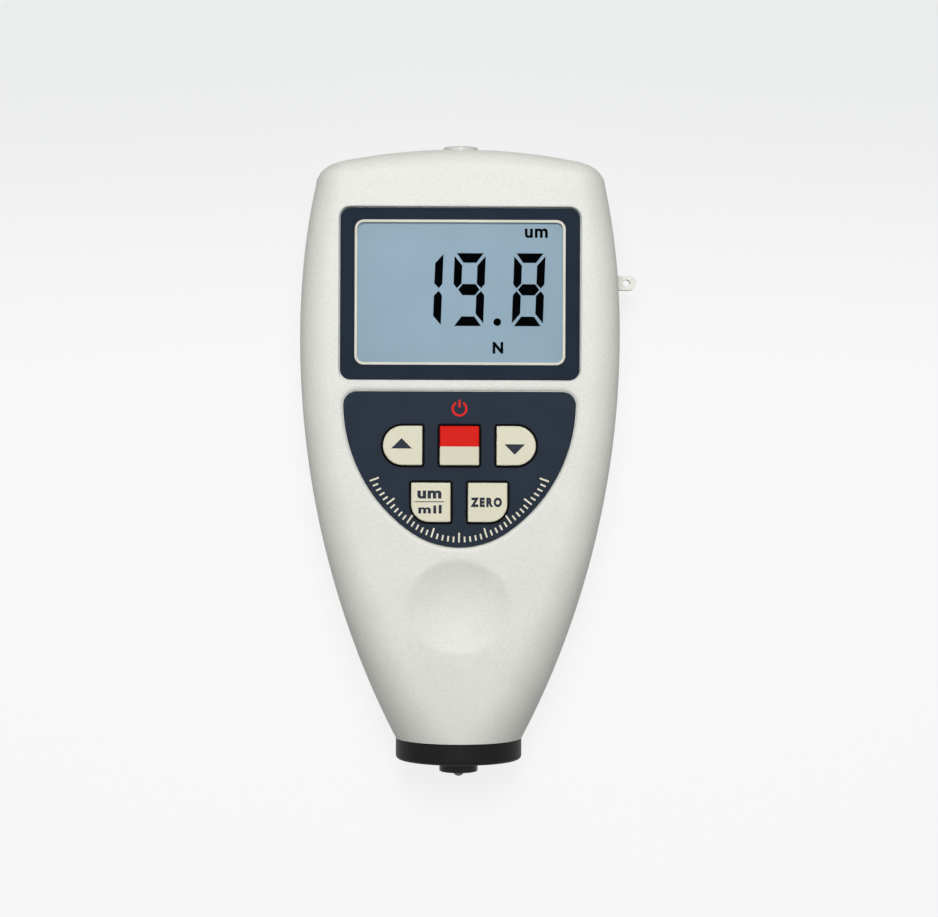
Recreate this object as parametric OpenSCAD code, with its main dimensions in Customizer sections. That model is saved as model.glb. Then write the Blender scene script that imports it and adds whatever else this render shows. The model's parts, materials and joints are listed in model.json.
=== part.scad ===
// Handheld coating thickness gauge, lying on its back. Sizes are in millimetres.
// X runs across the case, Y along it towards the top end and Z out of the display face.
// The origin is on the flat back, in the middle of its width and below the battery door.

/* [Case] */
// Length of the case from the nose face to the middle of the bowed top end
case_len = 118; // [116:0.5:122]
// Width of the case at its widest place
case_w = 63.9; // [63:0.1:66]
// Thickness of the case from back to front
case_t = 27; // [26.75:0.25:29]
// Thickness of the walls of both halves
wall = 2; // [1.9:0.1:2.3]
// Distance from the nose face up to the widest place
widest_from_nose = 80.8; // [79:0.1:83]
// Diameter of the round nose
nose_d = 25.5; // [25.1:0.1:26.3]
// Edge radius where the case is widest
edge_r = 6; // [5.5:0.25:6.5]
// Radius of the rounded top end
top_r = 4; // [3.5:0.25:4.5]
// Bow of the top end, as a radius seen from the front
top_bow_r = 117; // [101:2:149]
// Height of the origin above the nose face
origin_from_nose = 39.5; // [36:0.5:44]
// Length over which the flat front and back run into the round nose
nose_blend = 18; // [14:1:20]
// Depth of the groove that marks the line between the halves
line_groove = 0.25; // [0.15:0.05:0.3]
// Diameter of the thumb dimple
dimple_d = 19.8; // [18:0.2:21]
// Depth of the thumb dimple
dimple_depth = 1.5; // [1.2:0.1:1.6]
// Centre of the thumb dimple above the nose face
dimple_from_nose = 27.3; // [26.5:0.1:28.5]

/* [Strap lug] */
// Height of the lug above the nose face
lug_from_nose = 92.4; // [88:0.1:96]
// How far the lug stands out from the side
lug_reach = 4.2; // [3.9:0.1:4.6]
// Height of the lug, along the case
lug_h = 2.9; // [2.8:0.1:3.6]
// Thickness of the lug, through the case
lug_t = 2.4; // [2:0.1:3]
// Diameter of the hole for the cord
eye_d = 1.4; // [1.2:0.1:1.6]
// Distance of the hole from the middle of the lug's round end, towards the case
eye_back = 0.5; // [0.3:0.1:0.6]

/* [Display] */
// Width of the window pane
window_w = 47.5; // [46.5:0.25:48.5]
// Height of the window pane
window_h = 34.1; // [33.5:0.25:35]
// Corner radius of the pane
window_r = 2.1; // [1.5:0.1:2.5]
// Thickness of the pane
window_t = 1.2; // [1:0.1:1.3]
// Centre of the pane above the nose face
window_from_nose = 89.1; // [88:0.1:89.5]
// Width of the clear view
view_w = 41.7; // [40:0.25:42.5]
// Height of the clear view
view_h = 28.7; // [27:0.25:29]
// Gap round pieces that are set into the face
set_gap = 0.12; // [0.1:0.01:0.2]
// Width of the display glass
lcd_w = 46; // [45:0.25:46.5]
// Height of the display glass
lcd_h = 33; // [32:0.25:33.5]
// Thickness of the display glass
lcd_t = 2.8; // [2.4:0.1:3]
// Height of the display glass above the board
lcd_rise = 4; // [3.8:0.1:4.2]
// Wall of the display frame
frame_t = 1.2; // [1:0.1:1.3]

/* [Keypad] */
// Width of the overlay at its top
overlay_w = 46; // [45:0.25:47]
// Top of the overlay above the nose face
overlay_top = 69.8; // [69.5:0.1:70.3]
// Lowest point of the overlay above the nose face
overlay_foot = 39; // [38.5:0.1:39.5]
// Radius of the overlay's lower end
overlay_foot_r = 16.8; // [16:0.2:17.5]
// Distance below the top at which the overlay is widest
overlay_widest = 2.1; // [1.5:0.1:3]
// Radius of the overlay's top corners
overlay_r = 2.7; // [2:0.1:3]
// Thickness of the overlay
overlay_t = 0.35; // [0.3:0.05:0.4]
// Depth of the recess the overlay lies in
recess = 0.5; // [0.45:0.05:0.6]
// Side of a key
key_size = 7.75; // [7.5:0.05:8]
// Distance between keys
key_pitch = 11.2; // [11:0.1:11.5]
// Height of the upper row of keys above the nose face
keys_from_nose = 59.1; // [58.5:0.1:59.5]
// How far a key stands proud of the face
key_proud = 0.5; // [0.4:0.05:0.8]
// Gap round a key
key_gap = 0.3; // [0.25:0.05:0.35]
// Corner radius of a key
key_r = 0.5; // [0.3:0.1:0.8]
// Radius of the outer corners of the two lower keys
key_big_r = 3.5; // [3:0.1:3.8]
// How far a key goes in
key_travel = 0.5; // [0.4:0.05:0.6]
// Width of the rim that keeps a key in the case
key_rim = 0.8; // [0.6:0.1:1]

/* [Board] */
// Thickness of the board
board_t = 1.6; // [1.4:0.1:1.8]
// Gap between the board and the case walls
board_gap = 0.8; // [0.6:0.1:1]
// Lower end of the board above the nose face
board_foot = 25.5; // [24.5:0.5:26.5]
// Upper end of the board above the nose face
board_head = 111.5; // [110.5:0.5:112.5]
// Side of a switch housing
switch_size = 6; // [5.6:0.1:6.2]
// Height of a switch housing
switch_h = 3.5; // [3.3:0.1:3.6]
// Diameter of a switch plunger
plunger_d = 3.4; // [3:0.1:3.6]
// Diameter of the buzzer
buzzer_d = 12; // [11:0.5:13]
// Diameter of the hole in the data jack
jack_d = 3.6; // [3.5:0.05:3.7]
// Diameter of the jack's round nose
jack_nose_d = 6.8; // [6.4:0.1:7]
// How far the jack's nose stands out of the top end
jack_proud = 0.5; // [0.3:0.1:0.8]

/* [Probe] */
// Length of the black collar below the nose face
collar_len = 4.3; // [4:0.1:4.8]
// Diameter of the sliding sleeve
sleeve_d = 7.8; // [7.4:0.1:8.2]
// How far the sleeve stands out of the collar
sleeve_proud = 2.6; // [2.3:0.1:2.7]
// Diameter of the domed tip
tip_d = 2.5; // [2.3:0.1:2.8]
// How far the tip stands out of the sleeve
tip_proud = 1; // [0.8:0.1:1.1]
// Radial play of the sliding pieces
slide_gap = 0.06; // [0.05:0.01:0.08]
// Diameter of the stem that runs through the spring
stem_d = 4; // [3.8:0.1:4.2]
// Length of the probe spring
spring_len = 12; // [11:0.25:13]
// Wire thickness of the probe spring
spring_wire = 0.6; // [0.5:0.05:0.7]
// Turns of the probe spring
spring_turns = 6; // [5:0.5:7]

/* [Battery] */
// Diameter of a cell
cell_d = 10.5; // [10.3:0.1:10.5]
// Length of a cell with its button
cell_len = 44.5; // [44:0.1:45]
// Distance between cells
cell_pitch = 10.7; // [10.6:0.05:10.8]
// Lower end of the cell bay above the nose face
bay_from_nose = 56.5; // [55.5:0.5:57.5]
// Thickness of the bay walls
bay_wall = 1.2; // [1:0.1:1.3]
// Length of a cell spring
cell_spring_len = 3.6; // [3.2:0.1:4]
// Thickness of the contact plates
contact_t = 0.4; // [0.3:0.05:0.5]
// Thickness of the battery door
door_t = 2; // [1.8:0.1:2.2]
// Width of the tongues along the door's sides
door_tongue = 1; // [0.8:0.1:1.1]
// Play of the sliding door
door_gap = 0.15; // [0.1:0.05:0.2]

/* [Screws] */
// Diameter of a case screw
screw_d = 2.2; // [2:0.1:2.4]
// Diameter of a screw head
screw_head_d = 4; // [3.8:0.1:4.2]
// Height of a screw head
screw_head_h = 1.6; // [1.4:0.1:1.8]
// Diameter of the bosses
boss_d = 4.6; // [4.4:0.1:4.8]
// Depth of the head seats in the back
seat_depth = 3; // [2.6:0.2:3.4]

/* [Hidden] */
$fn = 48;

// How far a cut runs past the face it opens, and how far a rib or boss runs into the wall it stands on
cut = 1;
sink = 0.5;

// Heights through the case
z_mid = case_t / 2;
z_face = case_t;
z_inner = case_t - wall;
face_gap = 0.2;
z_board = z_inner - face_gap - lcd_t - lcd_rise;
z_board_back = z_board - board_t;

// Places along the case
y_nose = -origin_from_nose;
y_top = y_nose + case_len;
y_wide = y_nose + widest_from_nose;
y_fillet = y_top - top_r;
window_y = y_nose + window_from_nose;
keys_y = y_nose + keys_from_nose;
dimple_y = y_nose + dimple_from_nose;
lug_y = y_nose + lug_from_nose;

// Outline of the case: each side is one arc from the top end to the nose
nose_r = nose_d / 2;
half_max = case_w / 2;
side_drop = half_max - nose_r;
side_r = (pow(widest_from_nose, 2) + pow(side_drop, 2)) / (2 * side_drop);
nose_flat = 0.5;
arc_steps = 8;
flat_steps = 6;
body_steps = 18;

function half_w(y) = half_max - side_r + sqrt(pow(side_r, 2) - pow(y - y_wide, 2));
function narrowing(y) = (half_max - half_w(y)) / side_drop;
function near_nose(y) = max(0, 1 - (y - y_nose) / nose_blend);
function half_t(y) = z_mid - (z_mid - nose_r) * pow(near_nose(y), 2);
function corner_r(y) = edge_r + (nose_r - nose_flat - edge_r) * (y < y_wide ? narrowing(y) : 0);
function bow(y) = pow(max(0, (y - y_wide) / (y_top - y_wide)), 2) / (2 * top_bow_r);

// A station is a place along the case, the angle round the top end and how far the end face has closed
stations = concat(
    [for (i = [0 : body_steps]) [y_nose + (y_fillet - y_nose) * i / body_steps, 0, 1]],
    [for (a = [15 : 15 : 90]) [y_fillet, a, 1]],
    [for (s = [0.68, 0.35, 0.04]) [y_fillet, 90, s]]);

function st_inset(st, inset) = inset + (top_r - inset) * (1 - cos(st[1]));
function st_y(st, inset) = st[0] + (top_r - inset) * sin(st[1]);
function st_point(st, inset, p, side) =
    let (x = p[0] * st[2], y = st_y(st, inset))
    [x, y - bow(y) * x * x, z_mid + side * p[1] * st[2]];

// Half a rounded section from the right side over the face to the left side
function turn(i) = 90 * i / arc_steps;
function half_section(w, t, r) = concat(
    [[w, line_groove]],
    [for (i = [0 : arc_steps]) [w - r + r * cos(turn(i)), t - r + r * sin(turn(i))]],
    [for (i = [1 : flat_steps - 1]) [(w - r) * (1 - 2 * i / flat_steps), t]],
    [for (i = [arc_steps : -1 : 0]) [r - w - r * cos(turn(i)), t - r + r * sin(turn(i))]],
    [[-w, line_groove]]);

// One ring of the case surface, set in by inset, its ends set in by groove more at the middle plane
function ring(st, inset, groove, side) =
    let (d = st_inset(st, inset), e = st_inset(st, inset + groove), y = st[0])
    concat(
        [st_point(st, inset + groove, [half_w(y) - e, 0], side)],
        [for (p = half_section(half_w(y) - d, half_t(y) - d, corner_r(y) - d)) st_point(st, inset, p, side)],
        [st_point(st, inset + groove, [e - half_w(y), 0], side)]);

ring_n = 2 * (arc_steps + 1) + flat_steps - 1 + 4;
ring_m = len(stations);
ring_last = ring_m - 1;

function o_at(j, i) = j * ring_n + i;
function i_at(j, i) = (ring_m + j) * ring_n + i;
function flatten(list) = [for (part = list) for (item = part) item];
function turned_over(list) = [for (i = [len(list) - 1 : -1 : 0]) list[i]];
function facing(faces, side) = side > 0 ? faces : [for (f = faces) turned_over(f)];
function band(f) = [for (j = [0 : ring_m - 2]) for (i = [0 : ring_n - 2]) f(j, i)];

skin_faces = band(function (j, i) [o_at(j, i), o_at(j, i + 1), o_at(j + 1, i + 1), o_at(j + 1, i)]);
lining_faces = band(function (j, i) [i_at(j, i), i_at(j + 1, i), i_at(j + 1, i + 1), i_at(j, i + 1)]);
left = ring_n - 1;

// The last ring is closed by a fan round a point of its own
function end_point(inset, side) = st_point(stations[ring_last], inset, [0, z_mid / 2], side);
function end_fan(from, middle) = [for (i = [0 : left]) [from + i, from + (i + 1) % ring_n, middle]];

// The wall of one half: the front half for side 1, the rear half for side -1
module half_shell(side) {
    rims = flatten([for (j = [0 : ring_m - 2]) [
        [o_at(j, 0), o_at(j + 1, 0), i_at(j + 1, 0), i_at(j, 0)],
        [o_at(j, left), i_at(j, left), i_at(j + 1, left), o_at(j + 1, left)]]]);
    nose = [for (i = [0 : ring_n - 2]) [o_at(0, i), i_at(0, i), i_at(0, i + 1), o_at(0, i + 1)]];
    middle = 2 * ring_m * ring_n;
    ends = concat(
        end_fan(o_at(ring_last, 0), middle),
        facing(end_fan(i_at(ring_last, 0), middle + 1), -1),
        [[o_at(ring_last, 0), o_at(ring_last, left), i_at(ring_last, left), i_at(ring_last, 0)]]);
    polyhedron(
        flatten(concat(
            [for (st = stations) ring(st, 0, line_groove, side)],
            [for (st = stations) ring(st, wall, 0, side)],
            [[end_point(0, side), end_point(wall, side)]])),
        facing(concat(skin_faces, lining_faces, rims, nose, ends), side));
}

// All that lies inside the outer surface of one half
module half_solid(side) {
    foot = [for (i = [left : -1 : 0]) o_at(0, i)];
    right_rim = [for (j = [0 : ring_last]) o_at(j, 0)];
    left_rim = [for (j = [ring_last : -1 : 0]) o_at(j, left)];
    end = end_fan(o_at(ring_last, 0), ring_m * ring_n);
    polyhedron(
        concat(flatten([for (st = stations) ring(st, 0, 0, side)]), [end_point(0, side)]),
        facing(concat(skin_faces, end, [foot, concat(right_rim, left_rim)]), side));
}

// Round bar along Y on the probe's axis
module y_bar(d, y0, y1) {
    translate([0, y0, z_mid])
        rotate([-90, 0, 0])
            cylinder(d = d, h = y1 - y0);
}

module box(x0, x1, y0, y1, z0, z1) {
    translate([x0, y0, z0])
        cube([x1 - x0, y1 - y0, z1 - z0]);
}

module post(p, d, z0, z1) {
    translate([p[0], p[1], z0])
        cylinder(d = d, h = z1 - z0);
}

// Rectangle whose corners have their own radii: top left, top right, bottom right, bottom left
module corner_rect(w, h, radii) {
    signs = [[-1, 1], [1, 1], [1, -1], [-1, -1]];
    difference() {
        square([w, h], center = true);
        for (k = [0 : 3]) {
            side = radii[k] + cut;
            translate([signs[k][0] * (w / 2 - radii[k]), signs[k][1] * (h / 2 - radii[k])])
                difference() {
                    translate([min(0, signs[k][0]) * side, min(0, signs[k][1]) * side])
                        square(side);
                    circle(r = radii[k]);
                }
        }
    }
}

module even_rect(w, h, r) {
    corner_rect(w, h, [r, r, r, r]);
}

// Cell bay and its sliding door
cells_half = 1.5 * cell_pitch + cell_d / 2;
cell_gap = 0.2;
cell_play = 0.3;
rail_t = 1;
bay_half = cells_half + cell_play;
groove_half = bay_half + door_tongue + door_gap;
bay_out = groove_half + rail_t;
bay_y0 = y_nose + bay_from_nose;
bay_len = cell_len + cell_spring_len + 2 * contact_t + cell_play;
bay_y1 = bay_y0 + bay_len;
door_lift = 0.1;
door_lip = door_t / 2;
groove_top = door_t + door_gap;
cell_z = groove_top + cell_gap + cell_d / 2;
bay_top = cell_z + cell_d / 2 + cell_gap;
roof_top = bay_top + bay_wall;
door_lap = 2;
door_y0 = bay_y0 - door_lap;
tail_w = 2;
tail_gap = 0.2;

// Screws: the upper case pair is hidden under the door, the lower pair stands beside the probe
screw_play = 0.05;
hole_play = 0.15;
head_play = 0.2;
lcd_gap = 0.1;
boss_gap = 0.4;
frame_half_w = lcd_w / 2 + lcd_gap + frame_t;
frame_half_h = lcd_h / 2 + lcd_gap + frame_t;
seat_wall = 1.2;
seat_boss_d = screw_head_d + 2 * seat_wall;
lower_screw_rise = 18.5;
board_screw_rise = 43.5;
lower_screw_inset = 5.2;
board_screw_inset = [1.1, 4.5];
function beside_wall(y, inset) = half_w(y) - wall - boss_d / 2 - inset;
upper_screw_y = max(bay_y1 + bay_wall + seat_boss_d / 2, window_y + frame_half_h + boss_d / 2) + boss_gap;
lower_screw_y = y_nose + lower_screw_rise;
board_screw_y = [window_y - frame_half_h - boss_gap - boss_d / 2, y_nose + board_screw_rise];
upper_screw_x = bay_half - seat_boss_d;
lower_screw_x = beside_wall(lower_screw_y, lower_screw_inset);
board_screw_x = [for (k = [0, 1]) beside_wall(board_screw_y[k], board_screw_inset[k])];
upper_seat = groove_top + screw_head_h + cell_play;
case_screw_at = [for (s = [-1, 1]) for (p = [
    [upper_screw_x, upper_screw_y, upper_seat],
    [lower_screw_x, lower_screw_y, seat_depth]]) [s * p[0], p[1], p[2]]];
board_screw_at = [for (s = [-1, 1]) for (k = [0, 1]) [s * board_screw_x[k], board_screw_y[k]]];
boss_top = z_inner + face_gap;
screw_end = boss_top - boss_d;

// Probe
collar_face = y_nose - collar_len;
lip_d = 18;
lip_t = 2;
lip_gap = 0.2;
collar_in = 4.6;
collar_rear = y_nose + collar_in;
sleeve_face = collar_face - sleeve_proud;
tip_face = sleeve_face - tip_proud;
probe_travel = sleeve_proud + tip_proud;
stop_gap = 0.05;
shoulder_y = collar_rear + stop_gap;
shoulder_t = 1.5;
spring_y = shoulder_y + shoulder_t;
seat_y = spring_y + spring_len;
seat_t = 2;
seat_half = 8;
seat_rib = 1.2;
stem_past = 1.6;
stem_end = seat_y + seat_t + stem_past;
sleeve_wall = 0.8;
plug_in = 0.6;
plug_y = shoulder_y - plug_in;
cradle_half = 6;
cradle_gap = 0.1;

// Switches and keys
rim_gap = 0.25;
z_key_rim = z_inner - rim_gap;
key_rim_t = 1.2;
z_plunger = z_key_rim - key_rim_t;
keys = [
    ["up", -1, 0, [key_size / 2, key_r, key_r, key_size / 2]],
    ["power", 0, 0, [key_r, key_r, key_r, key_r]],
    ["down", 1, 0, [key_r, key_size / 2, key_size / 2, key_r]],
    ["unit", -0.5, -1, [key_r, key_r, key_r, key_big_r]],
    ["zero", 0.5, -1, [key_r, key_r, key_big_r, key_r]]];
function key_at(k) = [k[1] * key_pitch, keys_y + k[2] * key_pitch];

module key_shape(k, grow) {
    translate(key_at(k))
        corner_rect(key_size + 2 * grow, key_size + 2 * grow, [for (r = k[3]) r + grow]);
}

// Overlay outline: straight top, an arc down each side and a tighter arc round the foot, tangent to both
overlay_half = overlay_w / 2;
overlay_y1 = y_nose + overlay_top;
overlay_y0 = y_nose + overlay_foot;
foot_y = overlay_y0 + overlay_foot_r;
bulge_y = overlay_y1 - overlay_widest;
overlay_side_r = (pow(overlay_half, 2) + pow(bulge_y - foot_y, 2) - pow(overlay_foot_r, 2))
    / (2 * (overlay_half - overlay_foot_r));
join_slope = (bulge_y - foot_y) / (overlay_side_r - overlay_foot_r);
join_lap = 0.01;

module overlay_shape(grow) {
    join_y = foot_y - (overlay_foot_r + grow) * join_slope;
    union() {
        intersection() {
            translate([overlay_half - overlay_side_r, bulge_y])
                circle(r = overlay_side_r + grow, $fn = 128);
            translate([overlay_side_r - overlay_half, bulge_y])
                circle(r = overlay_side_r + grow, $fn = 128);
            translate([0, overlay_y1 + grow - overlay_w])
                even_rect(overlay_w + 2 * grow, 2 * overlay_w, overlay_r + grow);
            translate([-overlay_w, join_y])
                square([2 * overlay_w, overlay_w]);
        }
        intersection() {
            translate([0, foot_y])
                circle(r = overlay_foot_r + grow, $fn = 128);
            translate([-overlay_w, join_y - overlay_w + join_lap])
                square([2 * overlay_w, overlay_w]);
        }
    }
}

// Ribs that hold the spring seat, in the upper half
module seat_cradle(up) {
    z0 = up ? z_mid + seat_half - seat_t : wall - sink;
    z1 = up ? z_inner + sink : z_mid - seat_half + seat_t;
    slot0 = up ? z0 - cut : z_mid - seat_half - cradle_gap;
    slot1 = up ? z_mid + seat_half + cradle_gap : z1 + cut;
    slot_half = cradle_half + cut;
    slot_y0 = seat_y - cradle_gap;
    slot_y1 = seat_y + seat_t + cradle_gap;
    difference() {
        box(-cradle_half, cradle_half, slot_y0 - seat_rib, slot_y1 + seat_rib, z0, z1);
        box(-slot_half, slot_half, slot_y0, slot_y1, slot0, slot1);
        y_bar(2 * cradle_half, slot_y0 - seat_rib - cut, slot_y1 + seat_rib + cut);
    }
}

// Half of the ring inside the nose that the collar's groove closes on
module nose_lip(side) {
    intersection() {
        difference() {
            y_bar(nose_d - wall + 2 * lip_gap, y_nose, y_nose + lip_t);
            y_bar(lip_d, y_nose - cut, y_nose + lip_t + cut);
        }
        translate([0, 0, side * nose_r])
            box(-nose_d, nose_d, y_nose - cut, y_nose + lip_t + cut, z_mid - nose_r, z_mid + nose_r);
    }
}

module front_case() {
    color([0.92, 0.92, 0.9])
        difference() {
            union() {
                half_shell(1);
                nose_lip(1);
                seat_cradle(true);
                post([0, dimple_y], dimple_d + 2 * wall, dimple_back, boss_top);
                for (p = case_screw_at)
                    post(p, boss_d, z_mid, boss_top);
                for (p = board_screw_at)
                    post(p, boss_d, z_board, boss_top);
            }
            translate([0, window_y, z_face - window_t - window_sunk])
                linear_extrude(height = wall + cut)
                    even_rect(window_w + 2 * set_gap, window_h + 2 * set_gap, window_r + set_gap);
            translate([0, window_y, z_inner - cut])
                linear_extrude(height = wall + 2 * cut)
                    even_rect(view_w + 2 * view_gap, view_h + 2 * view_gap, view_r);
            translate([0, 0, z_face - recess])
                linear_extrude(height = wall + cut)
                    overlay_shape(set_gap);
            translate([0, 0, z_inner - cut])
                linear_extrude(height = wall + 2 * cut)
                    for (k = keys)
                        key_shape(k, key_gap);
            dimple_ball();
            jack_bar(jack_nose_d + 2 * hole_play, y_top - top_r, y_top + wall + cut);
            for (p = case_screw_at)
                post(p, screw_d + 2 * screw_play, z_mid - cut, screw_end + boss_gap);
            for (p = board_screw_at)
                post(p, screw_d + 2 * screw_play, z_board - cut, screw_end + boss_gap);
        }
}

dimple_r = (pow(dimple_d / 2, 2) + pow(dimple_depth, 2)) / (2 * dimple_depth);
dimple_back = z_inner - dimple_depth - face_gap;
window_sunk = 0.1;
view_gap = 0.3;
view_r = 1;

module dimple_ball() {
    translate([0, dimple_y, z_face - dimple_depth + dimple_r])
        sphere(r = dimple_r, $fn = 96);
}

// Section of the sliding door: a plate with a tongue along each side
module door_shape(grow) {
    plate = [bay_half - door_gap + grow, grow > 0 ? -cut : door_lift];
    tongues = [bay_half + door_tongue + grow, door_lip + door_gap - grow];
    for (s = [plate, tongues])
        translate([-s[0], s[1]])
            square([2 * s[0], door_t + grow - s[1]]);
}

module door_bar(grow, y0, y1) {
    translate([0, y1, 0])
        rotate([90, 0, 0])
            linear_extrude(height = y1 - y0)
                door_shape(grow);
}

module strap_lug() {
    z0 = z_mid - sink - lug_t;
    end_x = half_w(lug_y) + lug_reach - lug_h / 2;
    difference() {
        union() {
            post([end_x, lug_y], lug_h, z0, z0 + lug_t);
            box(half_w(lug_y) - wall / 2, end_x, lug_y - lug_h / 2, lug_y + lug_h / 2, z0, z0 + lug_t);
        }
        post([end_x - eye_back, lug_y], eye_d, z0 - cut, z0 + lug_t + cut);
    }
}

// Floor between the cell bay and the top end, above the door
module end_floor() {
    half_steps = 4;
    xs = [for (i = [-half_steps : half_steps]) bay_out * i / half_steps];
    edge = concat(
        [for (x = xs) [x, y_top - wall - face_gap - bow(y_top) * x * x]],
        [[bay_out, bay_y1], [-bay_out, bay_y1]]);
    translate([0, 0, wall - sink])
        linear_extrude(height = groove_top + bay_wall - wall + sink)
            polygon(edge);
}

module rear_case() {
    tail_slot = tail_w / 2 + tail_gap;
    tail_y = bay_y0 + contact_t + cell_play;
    color([0.9, 0.9, 0.88])
        difference() {
            union() {
                half_shell(-1);
                nose_lip(-1);
                seat_cradle(false);
                strap_lug();
                end_floor();
                for (p = case_screw_at)
                    post(p, boss_d, wall - sink, z_mid);
                for (p = case_screw_at)
                    post(p, seat_boss_d, wall - sink, p[2] + screw_head_h);
                box(-bay_out, bay_out, bay_y0 - bay_wall, bay_y1 + bay_wall, wall - sink, roof_top);
            }
            box(-bay_half, bay_half, bay_y0, bay_y1, groove_top - sink, bay_top);
            door_bar(door_gap, door_y0 - door_gap, y_top + top_r);
            for (p = case_screw_at)
                post(p, screw_head_d + 2 * head_play, -cut, p[2]);
            for (p = case_screw_at)
                post(p, screw_d + 2 * hole_play, 0, z_mid + cut);
            for (x = [cell_x(0), cell_x(3)])
                box(x - tail_slot, x + tail_slot, bay_y0, tail_y, bay_top - cut, roof_top + cut);
        }
}

// Grooves for the thumb across the foot of the door
grip_n = 6;
grip_half = 9;
grip_rise = 7;
grip_pitch = 1.6;
grip_depth = 0.4;

module battery_door() {
    color([0.88, 0.88, 0.86])
        difference() {
            intersection() {
                door_bar(0, door_y0, y_top + top_r);
                half_solid(-1);
            }
            for (i = [0 : grip_n - 1]) {
                y = door_y0 + grip_rise + grip_pitch * i;
                box(-grip_half, grip_half, y, y + grip_pitch / 2, -cut, door_lift + grip_depth);
            }
        }
}

module screw(p, z0, z1) {
    cross_w = 0.15 * screw_head_d;
    cross_len = 0.62 * screw_head_d;
    difference() {
        union() {
            post(p, screw_head_d, z0, z0 + screw_head_h);
            post(p, screw_d, z0 + screw_head_h / 2, z1);
        }
        for (a = [0, 90])
            translate([p[0], p[1], z0])
                rotate([0, 0, a])
                    cube([cross_w, cross_len, screw_head_h], center = true);
    }
}

module case_screws() {
    color([0.62, 0.63, 0.65])
        for (p = case_screw_at)
            screw(p, p[2] - screw_head_h, screw_end);
}

module board_screws() {
    color([0.62, 0.63, 0.65])
        for (p = board_screw_at)
            screw(p, z_board_back - screw_head_h, screw_end);
}

module display_window() {
    color([0.2, 0.24, 0.3, 0.6])
        translate([0, window_y, z_face - window_t - window_sunk])
            linear_extrude(height = window_t)
                even_rect(window_w, window_h, window_r);
}

module keypad_overlay() {
    color([0.17, 0.2, 0.24])
        translate([0, 0, z_face - recess])
            linear_extrude(height = overlay_t)
                difference() {
                    overlay_shape(0);
                    for (k = keys)
                        key_shape(k, key_gap);
                }
}

module key_cap(k) {
    color([0.87, 0.84, 0.76])
        union() {
            translate([0, 0, z_key_rim - sink])
                linear_extrude(height = z_face + key_proud - z_key_rim + sink)
                    key_shape(k, 0);
            translate([0, 0, z_plunger])
                linear_extrude(height = key_rim_t)
                    key_shape(k, key_rim);
        }
}

plunger_in = 1.3;
plunger_gap = 0.4;
well_gap = 0.2;

module key_plunger(k) {
    color([0.15, 0.15, 0.16])
        post(key_at(k), plunger_d, z_board + switch_h - plunger_in, z_plunger);
}

module key_switch(k) {
    p = key_at(k);
    top = z_board + switch_h;
    color([0.25, 0.25, 0.27])
        difference() {
            translate([p[0] - switch_size / 2, p[1] - switch_size / 2, z_board])
                cube([switch_size, switch_size, switch_h]);
            post(p, plunger_d + 2 * plunger_gap, top - plunger_in - well_gap - key_travel, top + cut);
        }
}

// Board outline: the inside of the case, with a square top and foot
board_y0 = y_nose + board_foot;
board_y1 = y_nose + board_head;
function board_half(y) = half_w(y) - wall - board_gap;
board_steps = 10;
board_rows = [for (i = [0 : board_steps]) board_y0 + (board_y1 - board_y0) * i / board_steps];

module main_board() {
    edge = concat(
        [for (y = board_rows) [board_half(y), y]],
        [for (i = [board_steps : -1 : 0]) [-board_half(board_rows[i]), board_rows[i]]]);
    color([0.1, 0.35, 0.2])
        difference() {
            translate([0, 0, z_board_back])
                linear_extrude(height = board_t)
                    polygon(edge);
            for (p = case_screw_at)
                post(p, boss_d + 2 * boss_gap, z_board_back - cut, z_board + cut);
            for (p = board_screw_at)
                post(p, screw_d + 2 * hole_play, z_board_back - cut, z_board + cut);
        }
}

lcd_z = z_board + lcd_rise;
frame_lip = 1.5;
frame_ledge = 1;
zebra_t = 2;
zebra_inset = 1.2;
strip_inset = 3;
light_gap = 0.4;
zebra_y = lcd_h / 2 - zebra_inset - zebra_t / 2;

// Block behind the middle of the window
module behind_window(half_x, half_y, z0, z1) {
    box(-half_x, half_x, window_y - half_y, window_y + half_y, z0, z1);
}

module lcd_glass() {
    color([0.59, 0.68, 0.74])
        behind_window(lcd_w / 2, lcd_h / 2, lcd_z, lcd_z + lcd_t);
}

module lcd_frame() {
    color([0.85, 0.85, 0.83])
        difference() {
            behind_window(frame_half_w, frame_half_h, z_board, lcd_z + frame_lip);
            behind_window(lcd_w / 2 + lcd_gap, lcd_h / 2 + lcd_gap, lcd_z, lcd_z + lcd_t);
            behind_window(lcd_w / 2 - frame_ledge, lcd_h / 2 - frame_ledge, z_board - cut, lcd_z + cut);
        }
}

module lcd_backlight() {
    half_y = zebra_y - zebra_t / 2 - light_gap;
    color([0.93, 0.94, 0.95])
        behind_window(lcd_w / 2 - strip_inset, half_y, z_board, lcd_z - light_gap);
}

module zebra_strip(s) {
    half = lcd_w / 2 - strip_inset;
    y = window_y + s * zebra_y;
    color([0.3, 0.3, 0.32])
        box(-half, half, y - zebra_t / 2, y + zebra_t / 2, z_board, lcd_z);
}

key_clear = 2;
buzzer_y = keys_y - key_pitch - key_size / 2 - key_rim - buzzer_d / 2 - key_clear;
buzzer_h = 2.6;
buzzer_hole_d = 2;

module buzzer() {
    color([0.12, 0.12, 0.13])
        difference() {
            post([0, buzzer_y], buzzer_d, z_board, z_board + buzzer_h);
            post([0, buzzer_y], buzzer_hole_d, z_board + buzzer_h - cut, z_board + buzzer_h + cut);
        }
}

chip_half = 6;
chip_t = 1.4;

module main_chip() {
    y = keys_y - key_pitch;
    color([0.08, 0.08, 0.09])
        box(-chip_half, chip_half, y - chip_half, y + chip_half, z_board_back - chip_t, z_board_back);
}

connector_half = 3;
connector_len = 4;
connector_h = 2.6;
connector_rise = 2;

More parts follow.
